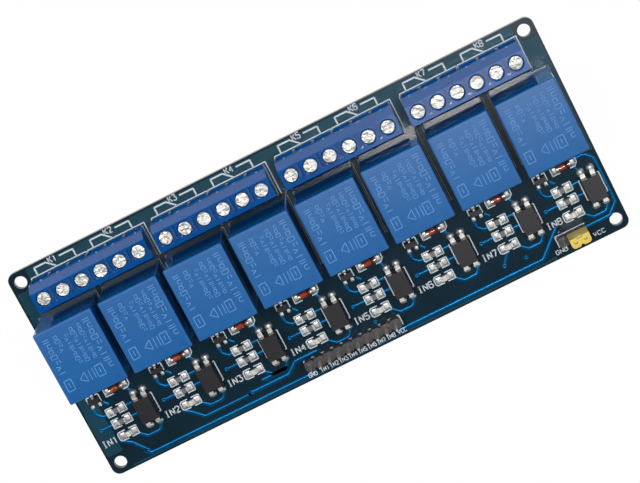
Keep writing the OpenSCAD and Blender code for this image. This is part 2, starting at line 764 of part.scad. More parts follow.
module terminal_screws() {
    color([0.8, 0.8, 0.8]) at_ways() translate([0, screw_y, 0]) difference() {
        union() {
            translate([0, 0, bar_top]) cylinder(h = screw_head_top - bar_top, d = screw_d);
            translate([0, 0, screw_head_top - screw_head_h])
                cylinder(h = screw_head_h, d = screw_head_d);
        }
        translate([0, 0, screw_head_top - cross_depth]) {
            slab(cross_w, cross_l, cross_depth + cut);
            slab(cross_l, cross_w, cross_depth + cut);
        }
    }
}

// Cage that a turned screw draws up, so that its floor grips the wire against the bar
module terminal_clamps() {
    color([0.75, 0.74, 0.7]) at_ways() translate([0, screw_y, board_t + cage_z]) difference() {
        slab(cage_w, cage_l, cage_h);
        translate([0, 0, cage_wall])
            slab(cage_w - 2 * cage_wall, cage_l + 2 * cut, cage_h - cage_wall - cage_top_t);
        translate([0, 0, cage_wall]) cylinder(h = cage_h, d = screw_d + 2 * thread_gap);
    }
}

module terminal_pins() {
    bar_back_y = terminal_pin_y - bar_t / 2;
    bar_l = cage_back_y + cage_l - bar_back_y;
    color([0.78, 0.78, 0.78]) at_ways() {
        translate([0, bar_back_y, bar_top - bar_t]) slab_forward(bar_w, bar_l, bar_t);
        translate([0, bar_back_y, -tail_l]) slab_forward(terminal_pin_w, bar_t, bar_top + tail_l);
    }
}

// ------------------------------------------------------------ input parts

// A moulding whose four sides narrow above and below their middle
module drafted_block(x, y, z, draft) {
    intersection() {
        along_x(x) drafted_side(y, z, draft);
        rotate([0, 0, 90]) along_x(y) drafted_side(x, z, draft);
    }
}

module drafted_side(l, h, d) {
    polygon([
        [-l / 2 + d, 0], [l / 2 - d, 0], [l / 2, h / 2],
        [l / 2 - d, h], [-l / 2 + d, h], [-l / 2, h / 2]
    ]);
}

// Lead that leaves a moulding at height h, drops, and ends in a flat foot
module gull_lead(from_y, reach, h, w, t, foot) {
    translate([0, from_y, h - t / 2]) slab_forward(w, reach + t, t);
    translate([0, from_y + reach, 0]) slab_forward(w, t, h + t / 2);
    translate([0, from_y + reach, 0]) slab_forward(w, foot, t);
}

module optocoupler(i) {
    color([0.1, 0.1, 0.11])
        translate([relay_x(i) + opto_x, relay_front_y - opto_row, board_t + opto_lift])
            difference() {
                drafted_block(opto_w, opto_l, opto_h, opto_draft);
                translate([opto_dot_inset.x - opto_w / 2, opto_dot_inset.y - opto_l / 2,
                           opto_h - opto_dot_depth])
                    cylinder(h = cut, d = opto_dot_d);
            }
}

module optocoupler_leads() {
    color([0.82, 0.83, 0.84]) at_relays()
        for (sx = SIDES, sy = SIDES)
            translate([opto_x + sx * opto_lead_pitch / 2, relay_front_y - opto_row, board_t])
                mirror([0, sy < 0 ? 1 : 0, 0])
                    gull_lead(opto_l / 2, opto_lead_reach, opto_lift + opto_h / 2,
                              opto_lead_w, opto_lead_t, opto_foot_l);
}

module at_transistors() {
    at_relays() translate([transistor_x, relay_front_y - transistor_row, board_t]) children();
}

module transistors() {
    color([0.12, 0.12, 0.12]) at_transistors() translate([0, 0, transistor_lift])
        drafted_block(transistor_w, transistor_l, transistor_h, transistor_draft);
}

module transistor_leads() {
    color([0.8, 0.8, 0.8]) at_transistors() {
        transistor_lead();
        for (s = SIDES)
            translate([s * transistor_lead_pitch / 2, 0, 0]) mirror([0, 1, 0]) transistor_lead();
    }
}

module transistor_lead() {
    gull_lead(transistor_l / 2, transistor_lead_reach, transistor_lift + transistor_h / 2,
              transistor_lead_w, transistor_lead_t, transistor_foot_l);
}

// The middle of each diode, with X along it
module at_diodes() {
    at_relays() translate([diode_x, relay_front_y - diode_row, board_t + diode_cap_d / 2])
        children();
}

module diode_glasses() {
    color([0.75, 0.3, 0.15]) at_diodes() rotate([0, 90, 0])
        cylinder(h = diode_l - 2 * diode_cap_l, d = diode_cap_d - 2 * diode_cap_step,
                 center = true);
}

module diode_caps() {
    color([0.8, 0.8, 0.82]) at_diodes() for (s = SIDES)
        translate([s * (diode_l - diode_cap_l) / 2, 0, 0]) rotate([0, 90, 0])
            cylinder(h = diode_cap_l, d = diode_cap_d, center = true);
}

module at_resistors() {
    at_relays() for (row = resistor_rows)
        translate([chip_x, relay_front_y - row, board_t]) children();
}

module at_lamps() {
    at_relays() translate([chip_x, relay_front_y - led_row, board_t]) children();
}

// Metal that wraps over, under and round both ends of a chip of height h
module chip_ends(h) {
    for (s = SIDES) difference() {
        translate([s * (chip_l - chip_end_l) / 2, 0, 0])
            slab(chip_end_l, chip_w, h + chip_end_t);
        translate([0, 0, chip_end_t])
            slab(chip_l - 2 * chip_end_t, chip_w + 2 * cut, h - chip_end_t);
    }
}

// The plain block inside those ends
module chip_core(h) {
    translate([0, 0, chip_end_t]) slab(chip_l - 2 * chip_end_t, chip_w, h - chip_end_t);
}

module resistors() {
    color([0.2, 0.2, 0.22]) at_resistors() chip_core(chip_h);
}

module resistor_ends() {
    color([0.84, 0.84, 0.86]) at_resistors() chip_ends(chip_h);
}

module indicator_lamps() {
    l = chip_l - 2 * (chip_end_l + led_lens_gap);
    color([0.93, 0.93, 0.88]) at_lamps() {
        chip_core(led_base_h);
        translate([0, 0, led_base_h - eps]) rotate([0, 0, 90]) along_x(chip_w) polygon([
            [-l / 2, 0], [l / 2, 0],
            [l / 2 - led_lens_slope, led_lens_h], [-l / 2 + led_lens_slope, led_lens_h]
        ]);
    }
}

module lamp_ends() {
    color([0.84, 0.84, 0.86]) at_lamps() chip_ends(led_base_h);
}

// ---------------------------------------------------------------- headers

// Outline of one cell of a header, with its corners cut
module header_cell() {
    a = header_pitch / 2;
    b = header_w / 2;
    c = header_cut;
    polygon([
        [-a, -b + c], [-a + c, -b], [a - c, -b], [a, -b + c],
        [a, b - c], [a - c, b], [-a + c, b], [-a, b - c]
    ]);
}

module header_body(n) {
    difference() {
        linear_extrude(header_h) {
            for (i = [1:n]) translate([pin_x(i, n), 0]) header_cell();
            square([(n - 1) * header_pitch, header_w - 2 * header_cut], center = true);
        }
        for (i = [1:n]) translate([pin_x(i, n), 0, -cut])
            slab(header_pin_w, header_pin_w, header_h + 2 * cut);
    }
}

// Square pin that tapers to a flat of half its width at its tip
module header_pin() {
    w = header_pin_w;
    side = [
        [-w / 2, -tail_l], [w / 2, -tail_l], [w / 2, pin_tip_z - header_tip],
        [w / 4, pin_tip_z], [-w / 4, pin_tip_z], [-w / 2, pin_tip_z - header_tip]
    ];
    intersection() {
        along_x(w) polygon(side);
        rotate([0, 0, 90]) along_x(w) polygon(side);
    }
}

module input_header() {
    color([0.08, 0.08, 0.09]) translate([input_x, header_y, board_t]) header_body(input_pins_n);
}

module input_pins() {
    color([0.8, 0.78, 0.72]) at_input_pins() header_pin();
}

module jumper_header() {
    color([0.08, 0.08, 0.09]) translate([jumper_x, header_y, board_t]) header_body(jumper_pins_n);
}

module jumper_pins() {
    color([0.8, 0.78, 0.72]) at_jumper_pins() header_pin();
}

// Cap over two pins: a cell round each, a slimmer space between them for the clip
module jumper_cap() {
    in_w = cap_w - 2 * cap_wall;
    in_l = cap_l - 2 * cap_wall;
    cell_w = in_w - header_pitch;
    middle_l = 2 * (clip_reach + clip_cap_gap);
    color([0.93, 0.82, 0.3]) translate([cap_x, header_y, header_top]) difference() {
        linear_extrude(cap_h) cap_outline();
        translate([0, 0, -cut]) {
            slab(in_w, middle_l, cap_in_h + cut);
            for (s = SIDES) translate([s * header_pitch / 2, 0, 0])
                slab(cell_w, in_l, cap_in_h + cut);
        }
        for (s = SIDES) translate([s * header_pitch / 2, 0, cap_in_h - cut])
            slab(window_w, window_l, cap_top_t + 2 * cut);
        translate([0, cap_l / 2 - cap_notch_l, cap_h - cap_notch_h])
            slab_forward(cap_notch_w, cap_notch_l + cut, cap_notch_h + cut);
    }
}

// Two round lobes on the front, with a V notch between them
module cap_outline() {
    r = cap_lobe_r;
    front = -cap_l / 2;
    difference() {
        union() {
            translate([-cap_w / 2, front + r]) square([cap_w, cap_l - r]);
            translate([-cap_w / 2 + r, front]) square([cap_w - 2 * r, r + eps]);
            for (s = SIDES) translate([s * (cap_w / 2 - r), front + r]) circle(r);
        }
        polygon([
            [-cap_notch_w / 2, front], [-cap_notch_w / 2, front - cut],
            [cap_notch_w / 2, front - cut], [cap_notch_w / 2, front],
            [0, -clip_reach - clip_cap_gap - cap_web]
        ]);
    }
}

module jumper_clip() {
    color([0.8, 0.65, 0.35]) translate([cap_x, header_y, header_top + clip_z])
        for (s = SIDES) translate([0, s * (clip_reach - clip_t / 2), 0])
            slab(cap_w - 2 * cap_wall, clip_t, cap_in_h - clip_z);
}

// ------------------------------------------------------------------- part

circuit_board();
solder_joints();
for (i = [1:CHANNELS]) {
    relay_cover(i);
    relay_armature(i);
    optocoupler(i);
}
relay_bases();
relay_yokes();
relay_cores();
relay_bobbins();
relay_coils();
relay_common_posts();
relay_contact_posts();
relay_coil_pins();
for (i = [1:BLOCKS])
    terminal_housing(i);
terminal_screws();
terminal_clamps();
terminal_pins();
optocoupler_leads();
transistors();
transistor_leads();
diode_glasses();
diode_caps();
resistors();
resistor_ends();
indicator_lamps();
lamp_ends();
input_header();
input_pins();
jumper_header();
jumper_pins();
jumper_cap();
jumper_clip();
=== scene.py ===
"""Dresses the relay module board: finishes, printed lines, copper, solder, lamps and camera.

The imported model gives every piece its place. This script adds what lies on the board
as a skin, gives each piece its material, and sets up the light and the camera.
"""

import logging
import math
from collections.abc import Iterable, Sequence
from dataclasses import dataclass, field
from enum import Enum

import bmesh
import bpy
from mathutils import Matrix, Vector


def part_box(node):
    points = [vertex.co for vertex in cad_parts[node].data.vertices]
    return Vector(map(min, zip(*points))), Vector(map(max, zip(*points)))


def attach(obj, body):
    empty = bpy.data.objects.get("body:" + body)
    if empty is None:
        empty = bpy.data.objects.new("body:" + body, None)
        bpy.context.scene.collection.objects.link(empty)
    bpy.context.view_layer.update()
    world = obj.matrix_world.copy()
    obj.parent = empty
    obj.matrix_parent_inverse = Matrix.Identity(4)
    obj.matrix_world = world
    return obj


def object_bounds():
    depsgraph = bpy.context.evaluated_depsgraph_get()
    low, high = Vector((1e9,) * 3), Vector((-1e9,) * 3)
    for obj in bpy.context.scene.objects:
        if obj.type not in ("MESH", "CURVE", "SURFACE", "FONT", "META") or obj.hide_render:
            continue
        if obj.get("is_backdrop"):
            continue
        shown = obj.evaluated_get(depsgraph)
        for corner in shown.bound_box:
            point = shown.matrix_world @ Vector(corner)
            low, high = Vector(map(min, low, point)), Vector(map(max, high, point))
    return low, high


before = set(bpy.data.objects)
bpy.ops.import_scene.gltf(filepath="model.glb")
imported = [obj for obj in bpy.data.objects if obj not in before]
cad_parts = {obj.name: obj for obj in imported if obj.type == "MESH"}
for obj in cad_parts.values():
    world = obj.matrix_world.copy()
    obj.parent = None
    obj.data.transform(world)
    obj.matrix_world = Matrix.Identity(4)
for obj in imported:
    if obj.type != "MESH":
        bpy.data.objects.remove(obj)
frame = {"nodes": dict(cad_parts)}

LOG = logging.getLogger("relay_board")
MM = 0.001
MADE: dict[str, bpy.types.Material] = {}
Point = tuple[float, float]
Colour = tuple[float, float, float, float]


def tint(code: str) -> Colour:
    """Turns a written screen colour into the linear one that shaders use.

    Args:
        code: Six hexadecimal digits, two for each of red, green and blue.

    Returns:
        The linear colour with full alpha.
    """
    values = [int(code[i : i + 2], 16) / 255 for i in (0, 2, 4)]
    linear = [v / 12.92 if v <= 0.04045 else ((v + 0.055) / 1.055) ** 2.4 for v in values]
    return (linear[0], linear[1], linear[2], 1.0)


def shaded(colour: Colour, factor: float) -> Colour:
    """Returns the colour made lighter or darker by one factor."""
    return (colour[0] * factor, colour[1] * factor, colour[2] * factor, colour[3])


# --------------------------------------------------------------------------- node trees


class Socket:
    """A node's output whose arithmetic adds Math nodes to its tree."""

    def __init__(self, graph: "Graph", raw: bpy.types.NodeSocket) -> None:
        """Wraps one output.

        Args:
            graph: The tree that the output belongs to.
            raw: The output itself.
        """
        self.graph = graph
        self.raw = raw

    def math(self, operation: str, *others: "Socket | float") -> "Socket":
        """Adds one Math node that works on this value and the others."""
        inputs = dict(enumerate((self, *others)))
        return self.graph.node("ShaderNodeMath", {"operation": operation}, inputs)

    def __add__(self, other: "Socket | float") -> "Socket":
        """Adds."""
        return self.math("ADD", other)

    __radd__ = __add__

    def __mul__(self, other: "Socket | float") -> "Socket":
        """Multiplies."""
        return self.math("MULTIPLY", other)

    __rmul__ = __mul__

    def __sub__(self, other: "Socket | float") -> "Socket":
        """Subtracts the other from this."""
        return self.math("SUBTRACT", other)

    def __rsub__(self, other: float) -> "Socket":
        """Subtracts this from the other."""
        return self * -1 + other

    def __gt__(self, other: "Socket | float") -> "Socket":
        """Gives 1 where this is the greater, and 0 elsewhere."""
        return self.math("GREATER_THAN", other)

    def limited(self) -> "Socket":
        """Keeps the value between 0 and 1."""
        return self.math("MINIMUM", 1.0).math("MAXIMUM", 0.0)


class Graph:
    """Adds nodes to one tree."""

    def __init__(self, tree: bpy.types.NodeTree) -> None:
        """Wraps a tree.

        Args:
            tree: A material's, a world's or a Geometry Nodes tree.
        """
        self.tree = tree

    def node(
        self,
        kind: str,
        settings: dict | None = None,
        inputs: dict | None = None,
        out: str | int = 0,
    ) -> Socket:
        """Adds a node.

        Args:
            kind: The node's type.
            settings: Its properties, and under "stops" a ramp's places and colours.
            inputs: Values or sockets by input name or number.
            out: The output to return.

        Returns:
            The chosen output.
        """
        made = self.tree.nodes.new(kind)
        for name, value in (settings or {}).items():
            if name == "stops":
                self.set_stops(made.color_ramp, value)
            else:
                setattr(made, name, value)
        for name, value in (inputs or {}).items():
            self.feed(made.inputs[name], value)
        return Socket(self, made.outputs[out] if made.outputs else None)

    def feed(self, target: bpy.types.NodeSocket, value: object) -> None:
        """Links a socket to an input, or sets the input's own value."""
        if isinstance(value, Socket):
            self.tree.links.new(value.raw, target)
        else:
            target.default_value = value

    @staticmethod
    def set_stops(ramp: bpy.types.ColorRamp, stops: Sequence[tuple[float, Colour]]) -> None:
        """Gives a ramp its stops, in rising order."""
        while len(ramp.elements) < len(stops):
            ramp.elements.new(1.0)
        for element, (place, colour) in zip(ramp.elements, stops):
            element.position = place
            element.color = colour


# ----------------------------------------------------------------------------- finishes


class Bench:
    """One material in the making, with its shader and a pattern space in millimetres."""

    def __init__(self, name: str) -> None:
        """Starts an empty material.

        Args:
            name: The material's name.
        """
        self.material = bpy.data.materials.new(name + "_finish")
        self.material.use_nodes = True
        self.material.node_tree.nodes.clear()
        self.graph = Graph(self.material.node_tree)
        place = self.graph.node("ShaderNodeTexCoord", out="Object")
        self.mm = self.graph.node(
            "ShaderNodeMapping", inputs={"Vector": place, "Scale": (1 / MM,) * 3}
        )

    def noise(self, per_mm: float, detail: float = 2.0, rough: float = 0.5) -> Socket:
        """A soft random pattern from 0 to 1 with so many features to the millimetre."""
        inputs = {"Vector": self.mm, "Scale": per_mm, "Detail": detail, "Roughness": rough}
        return self.graph.node("ShaderNodeTexNoise", inputs=inputs)

    def mix(self, share: Socket | float, first: Socket | Colour, second: Socket | Colour) -> Socket:
        """Mixes two colours, all of the second where the share is 1."""
        inputs = {0: share, 6: first, 7: second}
        return self.graph.node("ShaderNodeMix", {"data_type": "RGBA"}, inputs, out=2)

    def ramp(self, value: Socket, low: float, high: float) -> Socket:
        """Stretches a value so that low becomes 0 and high becomes 1."""
        inputs = {"Value": value, "From Min": low, "From Max": high}
        return self.graph.node("ShaderNodeMapRange", {"clamp": True}, inputs)

    def bump(self, height: Socket, depth: float, over: Socket | None = None) -> Socket:
        """Raises the surface by up to a depth in millimetres, on top of an earlier bump."""
        inputs = {"Strength": 1.0, "Distance": depth * MM, "Height": height}
        if over:
            inputs["Normal"] = over
        return self.graph.node("ShaderNodeBump", inputs=inputs, out="Normal")

    def across(self, axis: str) -> Socket:
        """The place along one axis in millimetres."""
        return self.graph.node("ShaderNodeSeparateXYZ", inputs={0: self.mm}, out=axis)

    def facing_up(self) -> Socket:
        """How level the surface lies: 1 on a top or an underside, 0 on an upright side."""
        normal = self.graph.node("ShaderNodeTexCoord", out="Normal")
        return self.graph.node("ShaderNodeSeparateXYZ", inputs={0: normal}, out="Z").math("ABSOLUTE")

    def close(self, **sockets: object) -> bpy.types.Material:
        """Adds the shader and ends the tree.

        Args:
            sockets: The shader's inputs, with underscores for the blanks in their names.

        Returns:
            The finished material.
        """
        inputs = {name.replace("_", " "): value for name, value in sockets.items()}
        shader = self.graph.node("ShaderNodeBsdfPrincipled", inputs=inputs, out="BSDF")
        self.graph.node("ShaderNodeOutputMaterial", inputs={"Surface": shader})
        return self.material


@dataclass(frozen=True)
class Plastic:
    """Moulded plastic with a fine grain, faint clouding, a little dust and a slight crown."""

    name: str
    colour: Colour
    roughness: float = 0.42
    grain: float = 7.0
    grain_depth: float = 0.003
    clouding: float = 0.07
    dust: float = 0.1
    coat: float = 0.0
    side_roughness: float | None = None
    crown: float = 0.0
    crown_middle: float = 5.95
    crown_half: float = 9.45

    def material(self) -> bpy.types.Material:
        """Builds the finish."""
        bench = Bench(self.name)
        grain = bench.noise(self.grain, 3.0, 0.6)
        cloud = bench.ramp(bench.noise(0.12, 2.0), 0.3, 0.7)
        specks = bench.ramp(bench.noise(2.3, 4.0, 0.75), 0.66, 0.8) * self.dust
        body = bench.mix(
            cloud, shaded(self.colour, 1 - self.clouding), shaded(self.colour, 1 + self.clouding)
        )
        crowned = None
        if self.crown:
            place = (bench.across("Y") - self.crown_middle) * (1 / self.crown_half)
            crowned = bench.bump(place * place * -1, self.crown)
        rough = grain * 0.12 + (self.roughness - 0.06) + specks * 0.5
        if self.side_roughness is not None:
            rough = rough + (1 - bench.facing_up()) * (self.side_roughness - self.roughness)
        return bench.close(
            Base_Color=bench.mix(specks, body, tint("B8C4CC")),
            Roughness=rough.limited(),
            Coat_Weight=self.coat,
            Coat_Roughness=0.12,
            Normal=bench.bump(grain, self.grain_depth, crowned),
        )


@dataclass(frozen=True)
class Metal:
    """Plated, drawn or cast metal with darker tarnish in random patches, which on the screws are partly
    painted shade.
    """

    name: str
    colour: Colour
    roughness: float = 0.25
    dents: float = 3.0
    dent_depth: float = 0.02
    tarnish_and_shade: float = 0.35

    def material(self) -> bpy.types.Material:
        """Builds the finish."""
        bench = Bench(self.name)
        dents = bench.noise(self.dents, 3.0, 0.55)
        dark_patches = bench.ramp(bench.noise(self.dents * 0.5, 4.0, 0.7), 0.42, 0.72)
        return bench.close(
            # Darker patches at random: tarnish, and on the screw heads also painted shade.
            Base_Color=bench.mix(dark_patches * self.tarnish_and_shade, self.colour, shaded(self.colour, 0.35)),
            Metallic=1.0,
            Roughness=(dark_patches * 0.2 + self.roughness).limited(),
            Normal=bench.bump(dents, self.dent_depth),
        )


@dataclass(frozen=True)
class Mask:
    """Green-blue lacquer over the board's woven laminate, or over copper."""

    name: str
    colour: Colour
    edge: Colour
    roughness: float = 0.3
    metal: float = 0.0
    gloss: float = 0.2
    weave: float = 0.9
    weave_depth: float = 0.0002

    def material(self) -> bpy.types.Material:
        """Builds the finish."""
        bench = Bench(self.name)
        cloud = bench.ramp(bench.noise(0.09, 3.0, 0.6), 0.3, 0.7)
        fine = bench.noise(5.0, 3.0, 0.6)
        warp = self.threads(bench, "X")
        weft = self.threads(bench, "Y")
        lacquer = bench.mix(cloud, shaded(self.colour, 0.86), shaded(self.colour, 1.16))
        cloth = bench.mix((warp * weft) * 0.18, lacquer, shaded(self.colour, 1.7))
        level = bench.facing_up() > 0.5
        return bench.close(
            Base_Color=bench.mix(level, bench.mix(fine, self.edge, shaded(self.edge, 0.6)), cloth),
            Metallic=self.metal,
            Specular_IOR_Level=self.gloss,
            Roughness=(fine * 0.06 + self.roughness - 0.03).limited(),
            Normal=bench.bump(warp + weft + fine, self.weave_depth),
        )

    def threads(self, bench: Bench, direction: str) -> Socket:
        """The laminate's glass threads that lie across one direction."""
        inputs = {"Vector": bench.mm, "Scale": self.weave, "Distortion": 0.6}
        return bench.graph.node("ShaderNodeTexWave", {"bands_direction": direction}, inputs, "Fac")


@dataclass(frozen=True)
class Ink:
    """Printed ink, a little uneven and thin in places."""

    name: str
    colour: Colour
    thin: Colour
    wear: float = 0.35

    def material(self) -> bpy.types.Material:
        """Builds the finish."""
        bench = Bench(self.name)
        patches = bench.ramp(bench.noise(2.2, 4.0, 0.7), 0.45, 0.75) * self.wear
        return bench.close(
            Base_Color=bench.mix(patches, self.colour, self.thin),
            Roughness=(patches * 0.3 + 0.5).limited(),
            Normal=bench.bump(bench.noise(9.0, 2.0), 0.006),
        )


@dataclass(frozen=True)
class Resin:
    """Clear or glassy resin that light passes into."""

    name: str
    colour: Colour
    deep: Colour
    roughness: float = 0.12
    passing: float = 0.15

    def material(self) -> bpy.types.Material:
        """Builds the finish."""
        bench = Bench(self.name)
        swirl = bench.ramp(bench.noise(1.8, 3.0), 0.35, 0.65)
        return bench.close(
            Base_Color=bench.mix(swirl, self.colour, self.deep),
            Roughness=(bench.noise(6.0) * 0.08 + self.roughness).limited(),
            Transmission_Weight=self.passing,
            Coat_Weight=0.6,
            Coat_Roughness=0.05,
            Normal=bench.bump(bench.noise(2.5), 0.01),
        )


@dataclass(frozen=True)
class Winding:
    """Enamelled wire wound in level turns."""

    name: str
    colour: Colour
    wire: float = 0.12

    def material(self) -> bpy.types.Material:
        """Builds the finish."""
        bench = Bench(self.name)
        inputs = {"Vector": bench.mm, "Scale": 1 / self.wire / 3, "Distortion": 0.3}
        turns = bench.graph.node("ShaderNodeTexWave", {"bands_direction": "Z"}, inputs, "Fac")
        return bench.close(
            # The base colour is darker where the bump is lowest, between the turns: painted shade in the
            # grooves.
            Base_Color=bench.mix(turns, shaded(self.colour, 0.4), self.colour),
            Metallic=0.8,
            Roughness=(turns * -0.1 + 0.4).limited(),
            Normal=bench.bump(turns, self.wire / 2),
        )


class Finishes(Enum):
    """Every finish on the board."""

    MASK = Mask("solder_mask", tint("142833"), tint("5B5A3C"), 0.14)
    COPPER = Mask("mask_over_tracks", tint("055C8C"), tint("0A4A6C"), 0.32, 0.7)
    POUR = Mask("mask_over_areas", tint("1A4150"), tint("1A4150"), 0.26, 0.1)
    INK = Ink("legend_ink", tint("D3DAE0"), tint("8FA3B0"))
    # Ink of the relay outlines, darker than the other legend: painted shade of the deep gaps beside and
    # behind the relays.
    PAINTED_SHADE_INK = Ink("legend_ink_painted_shade", tint("7C8A94"), tint("4A5660"), 0.6)
    PALE_INK = Ink("relay_ink", tint("5C93CE"), tint("3A74B4"), 0.6)
    SOLDER = Metal("solder", tint("CACAC8"), 0.38, 1.3, 0.05, 0.4)
    TINNED = Metal("tinned_metal", tint("D6D5D0"), 0.3, 2.5, 0.01, 0.3)
    # The screws' strong darkening is partly real tarnish and partly painted shade of their dark rims and
    # cross recesses.
    NICKEL = Metal("screw_nickel", tint("CFCECA"), 0.36, 1.0, 0.3, 0.75)
    BRASS = Metal("contact_brass", tint("C99A58"), 0.28, 2.0, 0.01, 0.3)
    PINS = Metal("header_metal", tint("E6E0D2"), 0.3, 2.0, 0.01, 0.2)
    IRON = Metal("relay_iron", tint("A4A5A8"), 0.35, 2.0, 0.01, 0.3)
    WIRE = Winding("copper_wire", tint("B8672F"))
    RELAY = Plastic(
        "relay_plastic", tint("0E5C9C"), 0.32, 8.0, 0.0005, 0.04, side_roughness=0.07, crown=0.17
    )
    TERMINAL = Plastic("terminal_plastic", tint("014C92"), 0.13, 5.0, 0.0005, 0.08, 0.05)
    BOBBIN = Plastic("bobbin_plastic", tint("DCD6C0"), 0.45)
    BLACK = Plastic("black_moulding", tint("212023"), 0.3, 8.0, 0.001, 0.08)
    HEADER = Plastic("header_moulding", tint("403C3E"), 0.45, 6.0, 0.006, 0.12)
    CAP = Plastic("cap_plastic", tint("DCC050"), 0.36, 4.0, 0.004, 0.08, 0.05)
    RESISTOR = Plastic("resistor_body", tint("68686A"), 0.4, 6.0, 0.004, 0.1)
    GLASS = Resin("diode_glass", tint("D2552A"), tint("A03418"), 0.08, 0.25)
    LAMP = Resin("lamp_resin", tint("F2F2EC"), tint("DEDED4"), 0.2, 0.2)
    BAND = Ink("diode_band", tint("241A15"), tint("3A2A22"), 0.4)

    def material(self) -> bpy.types.Material:
        """The finish's material, made when it is first asked for."""
        if self.name not in MADE:
            MADE[self.name] = self.value.material()
        return MADE[self.name]


# ------------------------------------------------------------------------ pattern trees


class PatternTree:
    """A Geometry Nodes tree with named inputs whose result is kept as a plain mesh."""

    def __init__(self, name: str, inputs: dict[str, str]) -> None:
        """Starts the tree.

        Args:
            name: The tree's name.
            inputs: The socket type of each named input.
        """
        self.tree = bpy.data.node_groups.new(name, "GeometryNodeTree")
        self.graph = Graph(self.tree)
        self.ports: dict[str, str] = {}
        for label, kind in {"Shape": "Geometry", **inputs, "Finish": "Material"}.items():
            port = self.tree.interface.new_socket(
                name=label, in_out="INPUT", socket_type="NodeSocket" + kind
            )
            self.ports[label] = port.identifier
        self.tree.interface.new_socket(
            name="Shape", in_out="OUTPUT", socket_type="NodeSocketGeometry"
        )

    def port(self, label: str) -> Socket:
        """One of the tree's named inputs."""
        return self.graph.node("NodeGroupInput", out=label)

    def close(self, shape: Socket) -> None:
        """Realises the instances, sets the material and ends the tree."""
        whole = self.graph.node("GeometryNodeRealizeInstances", inputs={"Geometry": shape})
        inputs = {"Geometry": whole, "Material": self.port("Finish")}
        dressed = self.graph.node("GeometryNodeSetMaterial", inputs=inputs)
        self.graph.node("NodeGroupOutput", inputs={"Shape": dressed})

    def grow(self, name: str, seed_mesh: bpy.types.Mesh, values: dict) -> bpy.types.Object:
        """Runs the tree on a mesh.

        Args:
            name: The new piece's name.
            seed_mesh: The points or lines that the pattern follows.
            values: The named inputs' values.

        Returns:
            An object with the result as its own mesh and no modifier.
        """
        source = bpy.data.objects.new(name + "_source", seed_mesh)
        bpy.context.scene.collection.objects.link(source)
        modifier = source.modifiers.new("pattern", "NODES")
        modifier.node_group = self.tree
        for label, value in values.items():
            modifier[self.ports[label]] = value
        piece = keep_result(source, name)
        source.modifiers.clear()
        bpy.data.objects.remove(source)
        return piece


def keep_result(source: bpy.types.Object, name: str) -> bpy.types.Object:
    """Makes an object's evaluated shape a plain mesh in a new object.

    Args:
        source: The object with its modifiers or its curve.
        name: The new object's name.

    Returns:
        The new object, at the origin.
    """
    bpy.context.view_layer.update()
    graph = bpy.context.evaluated_depsgraph_get()
    mesh = bpy.data.meshes.new_from_object(
        source.evaluated_get(graph), preserve_all_data_layers=True, depsgraph=graph
    )
    mesh.name = name
    piece = bpy.data.objects.new(name, mesh)
    bpy.context.scene.collection.objects.link(piece)
    return piece


class RibbonTree(PatternTree):
    """Flat strips of one width and thickness along drawn lines."""

    def __init__(self) -> None:
        """Builds the tree: line, rounded corners, flat section."""
        super().__init__("ribbon", {"Width": "Float", "Height": "Float", "Corner": "Float"})
        g = self.graph
        line = g.node("GeometryNodeMeshToCurve", inputs={"Mesh": self.port("Shape")})
        inputs = {"Curve": line, "Count": 4, "Radius": self.port("Corner"), "Limit Radius": True}
        bent = g.node("GeometryNodeFilletCurve", {"mode": "POLY"}, inputs)
        level = g.node("GeometryNodeSetCurveNormal", {"mode": "Z_UP"}, {"Curve": bent})
        inputs = {"Width": self.port("Width"), "Height": self.port("Height")}
        section = g.node("GeometryNodeCurvePrimitiveQuadrilateral", inputs=inputs)
        inputs = {"Curve": level, "Profile Curve": section, "Fill Caps": True}
        self.close(g.node("GeometryNodeCurveToMesh", inputs=inputs))

    def lay(
        self,
        name: str,
        lines: Iterable[Sequence[Point]],
        level: float,
        sizes: tuple[float, float, float],
        finish: Finishes,
        slot: str | None = None,
    ) -> None:
        """Lays strips along drawn lines and finishes them as one piece of the board.

        Args:
            name: The piece's name.
            lines: Open lines of points in millimetres.
            level: The height of the strips' middle in metres.
            sizes: Width, thickness and corner radius in millimetres.
            finish: Its finish.
            slot: Not used.
        """
        values = {label: size * MM for label, size in zip(("Width", "Height", "Corner"), sizes)}
        values["Finish"] = finish.material()
        finish_piece(self.grow(name, line_mesh(lines, level), values), finish, "board")


